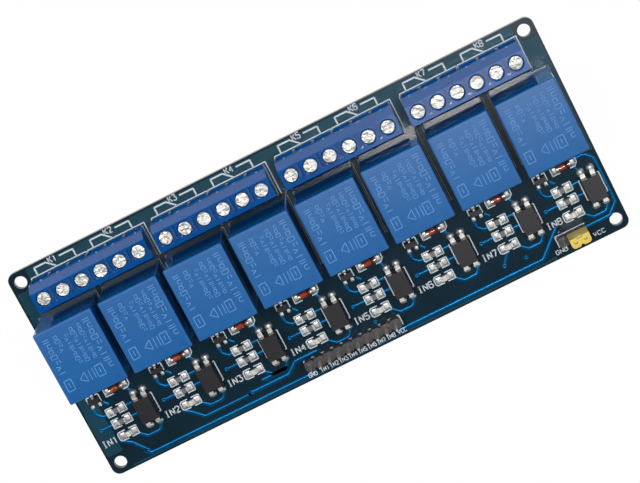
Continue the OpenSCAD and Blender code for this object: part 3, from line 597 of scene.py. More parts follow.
class ScatterTree(PatternTree):
    """One shape set on every point, sized by the point and roughened a little."""

    def __init__(self) -> None:
        """Builds the tree: points, instances, uneven surface."""
        ports = {"Shape to set": "Object", "Seed": "Int", "Turn": "Float", "Ripple": "Float"}
        super().__init__("scatter", ports)
        g = self.graph
        what = g.node(
            "GeometryNodeObjectInfo", inputs={0: self.port("Shape to set")}, out="Geometry"
        )
        size = g.node(
            "GeometryNodeInputNamedAttribute", {"data_type": "FLOAT_VECTOR"}, {"Name": "size"}
        )
        turn = g.node(
            "FunctionNodeRandomValue",
            {"data_type": "FLOAT"},
            {2: 0.0, 3: self.port("Turn"), "Seed": self.port("Seed")},
            out=1,
        )
        spin = g.node("ShaderNodeCombineXYZ", inputs={"Z": turn})
        inputs = {"Points": self.port("Shape"), "Instance": what, "Rotation": spin, "Scale": size}
        many = g.node("GeometryNodeInstanceOnPoints", inputs=inputs)
        solid = g.node("GeometryNodeRealizeInstances", inputs={"Geometry": many})
        self.close(self.rippled(solid))

    def rippled(self, solid: Socket) -> Socket:
        """Moves the surface in and out along its normal by a fixed random pattern."""
        g = self.graph
        place = g.node("GeometryNodeInputPosition")
        pattern = g.node(
            "ShaderNodeTexNoise", inputs={"Vector": place, "Scale": 1 / MM, "Detail": 1.0}
        )
        amount = (pattern - 0.5) * self.port("Ripple")
        offset = g.node(
            "ShaderNodeVectorMath",
            {"operation": "SCALE"},
            {0: g.node("GeometryNodeInputNormal"), "Scale": amount},
        )
        return g.node("GeometryNodeSetPosition", inputs={"Geometry": solid, "Offset": offset})

    def set_out(
        self,
        name: str,
        shape: bpy.types.Object,
        spots: Sequence[tuple[Vector, Vector]],
        finish: Finishes,
        slot: str,
        seed: int,
        turn: float = 0.0,
        ripple: float = 0.0,
    ) -> None:
        """Sets one shape on every spot and finishes them as one piece of the board.

        Args:
            name: The piece's name.
            shape: The shape of unit size, which is removed afterwards.
            spots: Place and size of each, in metres.
            finish: Its finish.
            slot: Not used.
            seed: The seed of the turns.
            turn: The greatest turn about the upright, in radians.
            ripple: How uneven the surface gets, in millimetres.
        """
        values = {
            "Shape to set": shape,
            "Seed": seed,
            "Turn": turn,
            "Ripple": ripple * MM,
            "Finish": finish.material(),
        }
        piece = self.grow(name, point_mesh(spots), values)
        bpy.data.objects.remove(shape)
        finish_piece(piece, finish, "board")


# ------------------------------------------------------------------------- mesh helpers


def line_mesh(lines: Iterable[Sequence[Point]], height: float) -> bpy.types.Mesh:
    """Makes a mesh of edges only.

    Args:
        lines: Open lines of points in millimetres.
        height: Their height in metres.

    Returns:
        The mesh.
    """
    points: list[Vector] = []
    edges: list[tuple[int, int]] = []
    for line in lines:
        first = len(points)
        points += [Vector((x * MM, y * MM, height)) for x, y in line]
        edges += [(first + i, first + i + 1) for i in range(len(line) - 1)]
    mesh = bpy.data.meshes.new("lines")
    mesh.from_pydata(points, edges, [])
    return mesh


def point_mesh(spots: Sequence[tuple[Vector, Vector]]) -> bpy.types.Mesh:
    """Makes a mesh of points that carry a size each.

    Args:
        spots: Place and size, both in metres.

    Returns:
        The mesh.
    """
    mesh = bpy.data.meshes.new("points")
    mesh.from_pydata([place for place, _ in spots], [], [])
    sizes = mesh.attributes.new("size", "FLOAT_VECTOR", "POINT")
    for item, (_, size) in zip(sizes.data, spots):
        item.vector = size
    return mesh


def lathe(profile: Sequence[Point], sides: int, square: float = 0.0) -> bpy.types.Object:
    """Turns a profile into a closed body of unit size.

    Args:
        profile: Radius and height pairs from the rim at the bottom to the pole.
        sides: How many sides the body has.
        square: How far the round outline is drawn out towards a square, from 0 to 1.

    Returns:
        The object, smooth shaded.
    """
    shape = bmesh.new()
    rings = []
    for radius, height in profile:
        ring = []
        for k in range(sides):
            angle = 2 * math.pi * (k + 0.5) / sides
            c, s = math.cos(angle), math.sin(angle)
            stretch = 1 + square * (1 / max(abs(c), abs(s)) - 1)
            ring.append(shape.verts.new((radius * c * stretch, radius * s * stretch, height)))
        rings.append(ring)
    for low, high in zip(rings, rings[1:]):
        for k in range(sides):
            n = (k + 1) % sides
            shape.faces.new((low[k], low[n], high[n], high[k]))
    shape.faces.new(list(reversed(rings[0])))
    shape.faces.new(rings[-1])
    for face in shape.faces:
        face.smooth = True
    mesh = bpy.data.meshes.new("turned")
    shape.to_mesh(mesh)
    shape.free()
    body = bpy.data.objects.new("turned", mesh)
    bpy.context.scene.collection.objects.link(body)
    return body


def plates_object(
    name: str, outlines: Iterable[Sequence[Point]], low: float, high: float
) -> bpy.types.Object:
    """Makes flat plates from outlines.

    Args:
        name: The piece's name.
        outlines: Closed outlines in millimetres, anticlockwise seen from above.
        low: Underside in metres.
        high: Top in metres.

    Returns:
        The object.
    """
    shape = bmesh.new()
    for outline in outlines:
        base = [shape.verts.new((x * MM, y * MM, low)) for x, y in outline]
        top = [shape.verts.new((x * MM, y * MM, high)) for x, y in outline]
        shape.faces.new(list(reversed(base)))
        shape.faces.new(top)
        for k in range(len(outline)):
            n = (k + 1) % len(outline)
            shape.faces.new((base[k], base[n], top[n], top[k]))
    mesh = bpy.data.meshes.new(name)
    shape.to_mesh(mesh)
    shape.free()
    piece = bpy.data.objects.new(name, mesh)
    bpy.context.scene.collection.objects.link(piece)
    return piece


def rectangle(x0: float, y0: float, x1: float, y1: float, cut: float = 0.0) -> list[Point]:
    """The outline of a rectangle, with its corners cut off where a cut is given."""
    if not cut:
        return [(x0, y0), (x1, y0), (x1, y1), (x0, y1)]
    return [
        (x0 + cut, y0), (x1 - cut, y0), (x1, y0 + cut), (x1, y1 - cut),
        (x1 - cut, y1), (x0 + cut, y1), (x0, y1 - cut), (x0, y0 + cut),
    ]


def finish_piece(piece: bpy.types.Object, finish: Finishes, body: str) -> None:
    """Gives a new piece its material and its body, and reports it.

    Args:
        piece: The finished object.
        finish: Its finish.
        body: The body that it moves with.
    """
    piece.data.materials.clear()
    piece.data.materials.append(finish.material())
    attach(piece, body)
    LOG.info("piece %s: %d faces", piece.name, len(piece.data.polygons))


# --------------------------------------------------------------------- drawn characters

ROUND_TOP = [(0.0, 4.8), (0.0, 5.0), (1.0, 6.0), (3.0, 6.0), (4.0, 5.0)]
ROUND_FOOT = [(4.0, 1.0), (3.0, 0.0), (1.0, 0.0), (0.0, 1.0)]
OPEN_ROUND = [(4.0, 5.0), (3.0, 6.0), (1.0, 6.0), (0.0, 5.0), *ROUND_FOOT[::-1]]
STROKES: dict[str, list[list[Point]]] = {
    "I": [[(1.0, 0.0), (3.0, 0.0)], [(2.0, 0.0), (2.0, 6.0)], [(1.0, 6.0), (3.0, 6.0)]],
    "N": [[(0.0, 0.0), (0.0, 6.0)], [(0.0, 6.0), (4.0, 0.0)], [(4.0, 0.0), (4.0, 6.0)]],
    "K": [[(0.0, 0.0), (0.0, 6.0)], [(4.0, 6.0), (0.0, 2.2)], [(1.5, 3.6), (4.0, 0.0)]],
    "G": [[*OPEN_ROUND, (4.0, 2.8), (2.4, 2.8)]],
    "D": [[(0.0, 0.0), (0.0, 6.0), (2.6, 6.0), (4.0, 4.6), (4.0, 1.4), (2.6, 0.0), (0.0, 0.0)]],
    "V": [[(0.0, 6.0), (2.0, 0.0)], [(2.0, 0.0), (4.0, 6.0)]],
    "C": [OPEN_ROUND],
    "1": [[(1.0, 4.8), (2.2, 6.0)], [(2.2, 6.0), (2.2, 0.0)]],
    "2": [[*ROUND_TOP, (4.0, 3.8)], [(4.0, 3.8), (0.0, 0.0)], [(0.0, 0.0), (4.0, 0.0)]],
    "3": [
        [(0.0, 6.0), (4.0, 6.0)],
        [(4.0, 6.0), (2.0, 3.6)],
        [(2.0, 3.6), (3.0, 3.6), (4.0, 2.6), *ROUND_FOOT],
    ],
    "4": [[(3.0, 0.0), (3.0, 6.0)], [(3.0, 6.0), (0.0, 2.0)], [(0.0, 2.0), (4.0, 2.0)]],
    "5": [[(4.0, 6.0), (0.3, 6.0), (0.0, 3.4), (3.0, 3.6), (4.0, 2.6), *ROUND_FOOT]],
    "6": [[*ROUND_TOP[::-1], *ROUND_FOOT[::-1], (4.0, 2.6), (3.0, 3.5), (1.0, 3.5), (0.0, 2.6)]],
    "7": [[(0.0, 6.0), (4.0, 6.0)], [(4.0, 6.0), (1.4, 0.0)]],
    "8": [
        [(1.0, 3.2), (0.0, 4.2), *ROUND_TOP[1:], (4.0, 4.2), (3.0, 3.2), (1.0, 3.2)],
        [(1.0, 3.2), (0.0, 2.2), *ROUND_FOOT[::-1], (4.0, 2.2), (3.0, 3.2)],
    ],
}
# Plain shapes in a box of unit size; they are no letters
ROW_SHAPES: list[list[list[Point]]] = [
    [[(0.5, 0.0), (0.5, 1.0)]],
    [[(0.0, 0.0), (1.0, 0.0), (1.0, 1.0), (0.0, 1.0), (0.0, 0.0)]],
    [[(0.2, 0.0), (0.2, 1.0)], [(0.8, 0.0), (0.8, 1.0)]],
    [[(0.0, 0.5), (1.0, 0.5)], [(0.0, 0.0), (1.0, 0.0)]],
    [[(0.0, 0.0), (0.0, 0.6), (1.0, 0.6), (1.0, 0.0)]],
    [[(0.0, 1.0), (0.5, 0.3), (1.0, 1.0)]],
    [[(0.0, 0.2), (1.0, 0.2), (1.0, 0.8), (0.0, 0.8), (0.0, 0.2)]],
]
# Offset from the relay's middle, start, end and height of every row
RELAY_ROWS = [
    (-5.4, 3.9, 14.0, 1.5), (-2.9, 9.0, 13.9, 1.2), (-0.6, 4.6, 13.2, 1.1),
    (1.3, 4.4, 13.4, 1.1), (3.2, 4.4, 13.4, 1.1), (5.4, 0.8, 13.9, 1.6),
]
RELAY_SIGNS = [(-5.4, -0.4, "frame"), (-1.7, -0.3, "wedge"), (0.6, -0.2, "bars"), (2.7, -0.3, "frame")]
SIGN_SHAPES: dict[str, list[list[Point]]] = {
    "frame": [[(-0.9, 0.0), (0.9, 0.0), (0.9, 2.8), (-0.9, 2.8), (-0.9, 0.0)], [(0.0, 0.8), (0.0, 2.0)]],
    "wedge": [[(-0.8, 1.4), (0.8, 0.1), (0.8, 2.7), (-0.8, 1.4)]],
    "bars": [[(-0.5, 0.0), (-0.5, 2.6)], [(0.5, 0.0), (0.5, 2.6)]],
}

# ------------------------------------------------------------------------------- layout


@dataclass
class Layout:
    """Where the rows of parts stand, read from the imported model, in millimetres."""

    channels: int = 8
    pins_per_row: int = 10
    header_pitch: float = 2.54
    top: float = field(init=False)
    relays: list[float] = field(init=False)
    blocks: list[tuple[float, float]] = field(init=False)
    header_x: float = field(init=False)
    jumper_x: float = field(init=False)
    header_y: float = field(init=False)
    relay_top: float = field(init=False)

    def __post_init__(self) -> None:
        """Reads the places from the model's boxes."""
        self.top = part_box("circuit_board")[1].z
        covers = [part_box(f"relay_cover_{i}") for i in self.numbers()]
        self.relays = [(low.x + high.x) / 2 / MM for low, high in covers]
        self.relay_top = covers[0][1].z
        blocks = [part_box(f"terminal_housing_{i}") for i in self.numbers()]
        self.blocks = [(low.x / MM, high.x / MM) for low, high in blocks]
        low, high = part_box("input_header")
        self.header_x, self.header_y = (low.x + high.x) / 2 / MM, (low.y + high.y) / 2 / MM
        low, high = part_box("jumper_header")
        self.jumper_x = (low.x + high.x) / 2 / MM

    def numbers(self) -> range:
        """The channels' numbers from 1."""
        return range(1, self.channels + 1)

    def pin_x(self, number: int) -> float:
        """Where an input pin stands, numbered from 0."""
        return self.header_x + (number - (self.pins_per_row - 1) / 2) * self.header_pitch


# --------------------------------------------------------------------------- the board


@dataclass
class CopperWork:
    """Tracks, copper areas and through-plated dots under the lacquer."""

    layout: Layout
    ribbon: RibbonTree
    scatter: ScatterTree
    thick: float = 0.035
    signal_w: float = 0.95
    power_w: float = 1.25
    contact_w: float = 2.2
    corner: float = 1.1

    def build(self) -> None:
        """Builds both sides of the board."""
        top = self.layout.top
        self.strips("signal_tracks", self.signal_lines(), self.signal_w, top)
        self.strips("power_tracks", self.power_lines(), self.power_w, top)
        areas = plates_object(
            "copper_areas", self.areas(), top - self.thick * MM, top + self.thick * 0.5 * MM
        )
        finish_piece(areas, Finishes.POUR, "board")
        self.strips("contact_tracks", self.underside_lines(), self.contact_w, 0.0)
        self.dots()

    def strips(self, name: str, lines: list[list[Point]], width: float, level: float) -> None:
        """Builds tracks that lie half sunk in one face of the board."""
        sizes = (width, 2 * self.thick, self.corner)
        self.ribbon.lay(name, lines, level, sizes, Finishes.COPPER, "solder_mask")

    def signal_lines(self) -> list[list[Point]]:
        """The narrow tracks of every channel, and the few odd ones."""
        lines: list[list[Point]] = []
        for c in self.layout.relays:
            lines += [
                [(c - 6.85, -9.7), (c - 6.95, -12.0), (c - 5.6, -13.3), (c - 3.0, -13.3)],
                [(c - 3.9, -9.9), (c - 2.9, -11.0)],
                [(c + 2.2, -8.2), (c + 3.6, -10.8)],
                [(c - 1.0, -13.1), (c + 4.0, -13.1)],
                [(c - 1.0, -16.15), (c + 4.0, -16.15)],
                [(c - 7.5, -16.15), (c - 3.0, -16.15)],
                [(c - 0.3, -20.3), (c + 1.9, -22.35), (c + 5.3, -22.35), (c + 6.6, -20.3)],
            ]
        lines += [
            [(40.3, -20.3), (37.9, -23.5)],
            [(-64.0, -20.5), (-61.5, -22.2), (-59.0, -25.6)],
            [(-47.0, -20.5), (-45.0, -22.0), (-42.8, -24.3), (-30.0, -24.3)],
            [(63.0, -7.6), (66.3, -7.6), (68.1, -9.4), (68.1, -21.3), (65.6, -23.7), (58.0, -23.7)],
        ]
        return lines

    def power_lines(self) -> list[list[Point]]:
        """The wide tracks along the front of the board."""
        return [
            [(8.0, -26.35), (46.9, -26.35), (53.0, -20.6)],
            [(-31.0, -24.1), (-20.0, -24.1), (-17.2, -21.9), (-11.3, -21.9)],
            [(-60.0, -25.2), (-58.6, -26.6), (-14.0, -26.6)],
            [(-26.5, -22.5), (-19.5, -22.5)],
        ]

    def areas(self) -> list[list[Point]]:
        """Copper areas behind the terminals and along the other edges, clear of the bolt holes."""
        low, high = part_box("circuit_board")
        rim, hole_x, hole_y, clear, back = 0.45, 66.5, 25.25, 2.4, 17.0
        x1, y0, y1 = high.x / MM - rim, low.y / MM + rim, high.y / MM - rim
        quarter = [math.radians(90 + 15 * k) for k in range(7)]
        bite = [(hole_x + clear * math.cos(a), hole_y + clear * math.sin(a)) for a in quarter]
        bite = [(x, 2 * hole_y - y) for x, y in bite]
        half = [(x1, back), (x1, hole_y - clear), *bite, (hole_x - clear, y1)]
        return [
            half + [(-x, y) for x, y in reversed(half)],
            rectangle(-hole_x + clear, y0, 50.0, -27.15, 0.1),
            rectangle(-x1, clear - hole_y, -64.6, back - 0.1, 0.4),
            rectangle(67.9, -7.4, x1, back - 0.1, 0.2),
            rectangle(62.5, 15.6, 67.8, back - 0.1, 0.2),
        ]

    def underside_lines(self) -> list[list[Point]]:
        """Wide tracks from each relay's contacts to its screw terminals."""
        lines: list[list[Point]] = []
        for c, (low, high) in zip(self.layout.relays, self.layout.blocks):
            middle = (low + high) / 2
            lines += [
                [(c - 6.0, 13.05), (c - 6.0, 15.0), (middle - 5, 17.0), (middle - 5, 18.5)],
                [(c + 6.0, 13.05), (c + 6.0, 15.0), (middle + 5, 17.0), (middle + 5, 18.5)],
                [(c, -1.15), (c, 15.0), (middle, 17.0), (middle, 18.5)],
            ]
        return lines

    def dots(self) -> None:
        """Small plated dots where a track passes through the board."""
        places = [(c - 7.7, -16.15) for c in self.layout.relays]
        places += [(37.9, -23.6), (-59.0, -25.7), (-30.0, -24.2), (4.4, -21.9), (43.4, -24.0)]
        ring = lathe([(0.5, -0.02), (0.5, 0.03), (0.46, 0.05), (0.22, 0.05), (0.14, 0.0)], 20)
        spots = [
            (Vector((x * MM, y * MM, self.layout.top)), Vector((MM, MM, MM))) for x, y in places
        ]
        self.scatter.set_out("plated_dots", ring, spots, Finishes.COPPER, "solder_mask", 3, 3.0)


@dataclass
class Legend:
    """Printed lines and functional marks on the board and plain marks on the relays."""

    layout: Layout
    ribbon: RibbonTree
    thick: float = 0.03
    lift: float = 0.035
    fine_w: float = 0.28
    bold_w: float = 0.4
    frame_w: float = 0.2
    row_w: float = 0.22
    small_row_w: float = 0.17
    relay_lift: float = 0.004
    large_row: float = 1.4
    bend: float = 0.35

    def build(self) -> None:
        """Builds every printed line and mark."""
        level = self.layout.top + (self.lift + self.thick / 2) * MM
        fine: list[list[Point]] = []
        frames: list[list[Point]] = []
        for c in self.layout.relays:
            fine += self.channel_lines(c)
            frames += self.relay_outline(c)
        blocks = self.layout.blocks
        for (low, _), (_, high) in zip(blocks[::2], blocks[1::2]):
            fine += self.terminal_lines(low, high)
        fine += self.header_lines()
        self.strips("legend_lines", fine, self.fine_w, level, Finishes.INK)
        # The relay outlines get the darker ink: painted shade, as they lie in the deep gaps between the
        # relays.
        self.strips("relay_outlines", frames, self.frame_w, level, Finishes.PAINTED_SHADE_INK)
        bold = [line for low, high in blocks for line in self.contact_symbol((low + high) / 2)]
        self.strips("contact_symbols", bold, self.bold_w, level, Finishes.INK)
        large, small = self.label_lines()
        self.strips("channel_labels", large, self.fine_w, level, Finishes.INK)
        self.strips("header_labels", small, self.frame_w, level, Finishes.INK)
        self.relay_marks()

    def strips(
        self, name: str, lines: list[list[Point]], width: float, level: float, finish: Finishes
    ) -> None:
        """Builds printed lines of one width."""
        self.ribbon.lay(name, lines, level, (width, self.thick, width * self.bend), finish)

    @staticmethod
    def brackets(
        x0: float, x1: float, y0: float, y1: float, gap: Point, bevel: float = 0.0
    ) -> list[list[Point]]:
        """A box drawn as two facing brackets, open between the gap's two ends."""
        first, last = gap
        side = [(x0, y0), (x0, y1)]
        if bevel:
            side = [(x0 + bevel, y0), (x0, y0 + bevel), (x0, y1 - bevel), (x0 + bevel, y1)]
        return [[(first, y0), *side, (first, y1)], [(last, y0), (x1, y0), (x1, y1), (last, y1)]]

    def channel_lines(self, c: float) -> list[list[Point]]:
        """Outlines round one channel's small parts.

        Args:
            c: The relay's centre.

        Returns:
            The lines.
        """
        gap = (c - 2.55, c - 1.6)
        return [
            [(c - 7.25, -8.8), (c - 7.25, -7.35), (c - 6.45, -7.35)],
            [(c - 4.85, -7.35), (c - 4.05, -7.35), (c - 4.05, -9.4)],
            [(c - 2.55, -7.2), (c - 2.55, -9.15), (c - 0.6, -9.15)],
            [(c + 1.95, -9.15), (c + 3.2, -9.15), (c + 3.95, -8.4), (c + 3.95, -7.2)],
            *self.brackets(c - 4.5, c + 0.45, -14.1, -11.95, gap),
            *self.brackets(c - 4.5, c + 0.45, -17.2, -15.05, gap),
            *self.brackets(c - 4.65, c + 0.35, -20.75, -18.45, gap, 0.4),
            [(c + 2.6, -18.1), (c + 2.35, -18.1), (c + 2.35, -12.85), (c + 2.6, -12.85)],
            [(c + 7.2, -12.85), (c + 7.55, -12.85), (c + 7.55, -18.1), (c + 7.2, -18.1)],
        ]

    @staticmethod
    def relay_outline(c: float) -> list[list[Point]]:
        """The outline beside one relay, which turns in at the back."""
        sides = [(c - 7.8, c - 7.3), (c + 7.8, c + 7.3)]
        return [[(x, -3.3), (x, 15.45), (inner, 15.45)] for x, inner in sides]

    @staticmethod
    def terminal_lines(low: float, high: float) -> list[list[Point]]:
        """The outline round two terminal blocks that stand side by side."""
        x0, x1, middle = low - 0.1, high + 0.35, (low + high) / 2
        front, back, bevel = 24.95, 16.4, 0.8
        return [
            [
                (x0 - 0.1, back), (x0 - 0.1, front - bevel), (x0 + 0.25, front), (middle - 0.3, front),
                (middle, front - 0.35), (middle + 0.3, front), (x1, front), (x1, back),
            ]
        ]

    @staticmethod
    def contact_symbol(middle: float) -> list[list[Point]]:
        """A changeover contact drawn behind one terminal block."""
        low, high = 25.05, 26.95
        return [
            [(middle - 5.6, low), (middle - 5.6, high), (middle - 2.5, high), (middle - 0.5, low)],
            [(middle + 1.1, high), (middle + 4.8, high), (middle + 4.8, low)],
        ]

    def header_lines(self) -> list[list[Point]]:
        """Outlines round the two pin headers, with a tick between the cells of the long one."""
        y = self.layout.header_y
        first, last = self.layout.pin_x(0), self.layout.pin_x(self.layout.pins_per_row - 1)
        j = self.layout.jumper_x
        edge = y + 1.1
        lines = [
            [(first - 1.25, y - 1.5), (first - 1.25, edge), (last + 1.4, edge), (last + 1.4, y - 1.5)],
            [(j - 3.95, y - 1.5), (j - 3.95, y + 1.3), (j + 3.8, y + 1.3)],
        ]
        for number in range(1, self.layout.pins_per_row):
            x = self.layout.pin_x(number) - self.layout.header_pitch / 2
            lines += [[(x - 0.3, edge), (x, edge - 0.4), (x + 0.3, edge)]]
        return lines

    def label_lines(self) -> tuple[list[list[Point]], list[list[Point]]]:
        """The strokes of the large and of the small marks."""
        large: list[list[Point]] = []
        small: list[list[Point]] = []
        for number, (low, high) in enumerate(self.layout.blocks, 1):
            large += self.written(f"K{number}", (low + high) / 2 - 0.75, 27.05, 1.95, 1.45)
        for number, c in enumerate(self.layout.relays, 1):
            large += self.written(f"IN{number}", c - 7.2, -19.65, 3.8, 1.55)
        names = ["GND", *[f"IN{n}" for n in self.layout.numbers()], "VCC"]
        shifts = {0: -0.65, self.layout.pins_per_row - 1: 0.45}
        for number, name in enumerate(names):
            x = self.layout.pin_x(number) + shifts.get(number, 0.0)
            small += self.written(name, x, -26.72, 2.15, 1.0)
        for name, side in (("GND", -3.8), ("VCC", 6.05)):
            small += self.written(name, self.layout.jumper_x + side, -26.35, 2.9, 1.0)
        return large, small

    @staticmethod
    def written(text: str, x: float, y: float, width: float, height: float) -> list[list[Point]]:
        """Draws a mark in single strokes so that it fills a box on the board.

        Args:
            text: The letters and figures.
            x: The box's middle along the board.
            y: The box's middle across it.
            width: The box's width.
            height: The box's height.

        Returns:
            The strokes.
        """
        cell, gap, tall = 4.0, 1.6, 6.0
        step = width / (len(text) * cell + (len(text) - 1) * gap)
        strokes = []
        for place, letter in enumerate(text):
            left = x - width / 2 + place * (cell + gap) * step
            for stroke in STROKES[letter]:
                strokes.append([(left + u * step, y + (v / tall - 0.5) * height) for u, v in stroke])
        return strokes

    def relay_marks(self) -> None:
        """Rows of plain shapes on each relay's top, which stand for no words."""
        level = self.layout.relay_top + self.relay_lift * MM
        large: list[list[Point]] = []
        small: list[list[Point]] = []
        for c in self.layout.relays:
            for number, (offset, low, high, tall) in enumerate(RELAY_ROWS):
                rows = large if tall > self.large_row else small
                rows += self.shape_row(c + offset, low, high, tall, number)
            for offset, low, shape in RELAY_SIGNS:
                large += [
                    [(c + offset + u, low + v) for u, v in line] for line in SIGN_SHAPES[shape]
                ]
        self.strips("relay_rows", large, self.row_w, level, Finishes.PALE_INK)
        self.strips("relay_small_rows", small, self.small_row_w, level, Finishes.PALE_INK)

    @staticmethod
    def shape_row(x: float, low: float, high: float, tall: float, first: int) -> list[list[Point]]:
        """Sets bars, boxes and steps one after another along the relay.

        Args:
            x: The row's middle.
            low: Where it starts.
            high: Where it ends.
            tall: How tall the shapes are.
            first: The first shape's number.

        Returns:
            The lines.
        """
        wide, gap = tall * 0.62, tall * 0.32
        lines = []
        place, number = low, first
        while place + wide < high:
            for line in ROW_SHAPES[number * 5 % len(ROW_SHAPES)]:
                lines.append([(x + (0.5 - v) * tall, place + u * wide) for u, v in line])
            place += wide + gap
            number += 1
        return lines


@dataclass
class SolderWork:
    """Solder on the small parts' ends and leads, on both sides of the board."""

    layout: Layout
    scatter: ScatterTree
    ripple: float = 0.07

    def build(self) -> None:
        """Builds the pads and the solder on them."""
        flat = [(0.5, -0.02), (0.5, 0.2), (0.48, 0.45), (0.43, 0.72), (0.34, 0.92), (0.2, 1.0)]
        dome = [(0.5, -0.02), (0.5, 0.06), (0.47, 0.25), (0.4, 0.52), (0.29, 0.78), (0.16, 0.94)]
        dome.append((0.05, 1.0))
        self.lumps("solder_fillets", self.chip_ends(), flat, 0.85)
        self.lumps("solder_balls", self.lead_ends(), dome, 0.12)
        self.rings()

    def lumps(
        self, name: str, spots: list[tuple[Vector, Vector]], profile: list[Point], square: float
    ) -> None:
        """Sets one lump of solder on every spot."""
        lump = lathe(profile, 24, square)
        self.scatter.set_out(name, lump, spots, Finishes.SOLDER, "solder", 11, ripple=self.ripple)

    def chip_ends(self) -> list[tuple[Vector, Vector]]:
        """Places and sizes of the solder at the ends of the chip parts and diodes."""
        found: list[tuple[Vector, Vector]] = []
        for c in self.layout.relays:
            for y in (-13.05, -16.1, -19.62):
                found += [self.spot(c + end, y, 1.55, 1.9, 0.26) for end in (-3.6, -0.5)]
            found += [
                self.spot(c - 1.7, -7.95, 1.4, 1.9, 0.6),
                self.spot(c + 2.95, -7.95, 1.4, 1.9, 0.6),
                self.spot(c - 6.65, -9.95, 0.95, 1.1, 0.3),
                self.spot(c - 4.75, -9.95, 0.95, 1.1, 0.3),
                self.spot(c - 5.7, -7.2, 0.95, 1.0, 0.3),
            ]
        return found

    def lead_ends(self) -> list[tuple[Vector, Vector]]:
        """Places and sizes of the solder at the optocouplers' leads."""
        found: list[tuple[Vector, Vector]] = []
        for c in self.layout.relays:
            for x in (c + 3.65, c + 6.19):
                found += [self.spot(x, -11.05, 2.05, 2.05, 0.85), self.spot(x, -20.2, 1.9, 1.4, 0.5)]
        return found

    def spot(self, x: float, y: float, wide: float, long: float, high: float) -> tuple[Vector, Vector]:
        """One lump of solder, placed and sized in metres."""
        return Vector((x * MM, y * MM, self.layout.top)), Vector((wide * MM, long * MM, high * MM))

    def rings(self) -> None:
        """Tinned rings round every soldered pin on the underside."""
        spots: list[tuple[Vector, Vector]] = []

        def add(x: float, y: float, wide: float) -> None:
            """Adds one ring."""
            spots.append((Vector((x * MM, y * MM, 0.0)), Vector((wide * MM, wide * MM, MM))))

        for c in self.layout.relays:
            add(c, -1.15, 2.5)
            for side in (-6.0, 6.0):
                add(c + side, 0.85, 2.5)
                add(c + side, 13.05, 2.5)
        for low, high in self.layout.blocks:
            for way in (-5.0, 0.0, 5.0):
                add((low + high) / 2 + way, 18.475, 2.6)
        for number in range(self.layout.pins_per_row):
            add(self.layout.pin_x(number), self.layout.header_y, 1.9)
        for number in (-1, 0, 1):
            add(self.layout.jumper_x + number * self.layout.header_pitch, self.layout.header_y, 1.9)
        ring = lathe([(0.46, -0.04), (0.5, -0.02), (0.5, 0.01)], 28)
        self.scatter.set_out("tinned_rings", ring, spots, Finishes.TINNED, "tinned_metal", 5)


@dataclass
class DiodeBands:
    """The dark band round each glass diode."""

    layout: Layout
    scatter: ScatterTree
    radius: float = 0.71
    width: float = 0.62
    offset: float = 1.4

    def build(self) -> None:
        """Builds the bands."""
        low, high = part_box("diode_glasses")
        y, z = (low.y + high.y) / 2, (low.z + high.z) / 2
        ring = lathe([(0.97, -0.5), (1.0, -0.45), (1.0, 0.45), (0.97, 0.5)], 32)
        ring.data.transform(Matrix.Rotation(math.pi / 2, 4, "Y"))
        size = Vector((self.width * MM, self.radius * MM, self.radius * MM))
        spots = [(Vector(((c + self.offset) * MM, y, z)), size) for c in self.layout.relays]
        self.scatter.set_out("diode_bands", ring, spots, Finishes.BAND, "diode_glass", 7)


@dataclass
class NodeFinishes:
    """The finish of every piece that the model brings."""

    by_name: dict[str, Finishes] = field(
        default_factory=lambda: {
            "circuit_board": Finishes.MASK,
            "solder_joints": Finishes.SOLDER,
            "relay_cover": Finishes.RELAY,
            "relay_bases": Finishes.RELAY,
            "relay_armature": Finishes.IRON,
            "relay_yokes": Finishes.IRON,
            "relay_cores": Finishes.IRON,
            "relay_bobbins": Finishes.BOBBIN,
            "relay_coils": Finishes.WIRE,
            "relay_common_posts": Finishes.BRASS,
            "relay_contact_posts": Finishes.BRASS,
            "relay_coil_pins": Finishes.TINNED,
            "terminal_housing": Finishes.TERMINAL,
            "terminal_screws": Finishes.NICKEL,
            "terminal_clamps": Finishes.NICKEL,
            "terminal_pins": Finishes.TINNED,
            "optocoupler_leads": Finishes.TINNED,
            "optocoupler": Finishes.BLACK,
            "transistor_leads": Finishes.TINNED,
            "transistors": Finishes.BLACK,
            "diode_glasses": Finishes.GLASS,
            "diode_caps": Finishes.TINNED,
            "resistors": Finishes.RESISTOR,
            "resistor_ends": Finishes.SOLDER,
            "indicator_lamps": Finishes.LAMP,
            "lamp_ends": Finishes.SOLDER,
            "input_header": Finishes.HEADER,
            "input_pins": Finishes.PINS,
            "jumper_header": Finishes.HEADER,
            "jumper_pins": Finishes.PINS,
            "jumper_cap": Finishes.CAP,
            "jumper_clip": Finishes.BRASS,
        }
    )

    def dress(self, nodes: dict[str, bpy.types.Object]) -> None:
        """Puts the finishes on.

        Args:
            nodes: The model's objects by name.
        """
        for name, piece in nodes.items():
            kind = name if name in self.by_name else name.rstrip("0123456789").rstrip("_")
            material = self.by_name[kind].material()
            if not piece.material_slots:
                piece.data.materials.append(material)
            for place in piece.material_slots:
                place.material = material
            LOG.info("node %s: %s", name, material.name)


# ------------------------------------------------------------------------------- studio


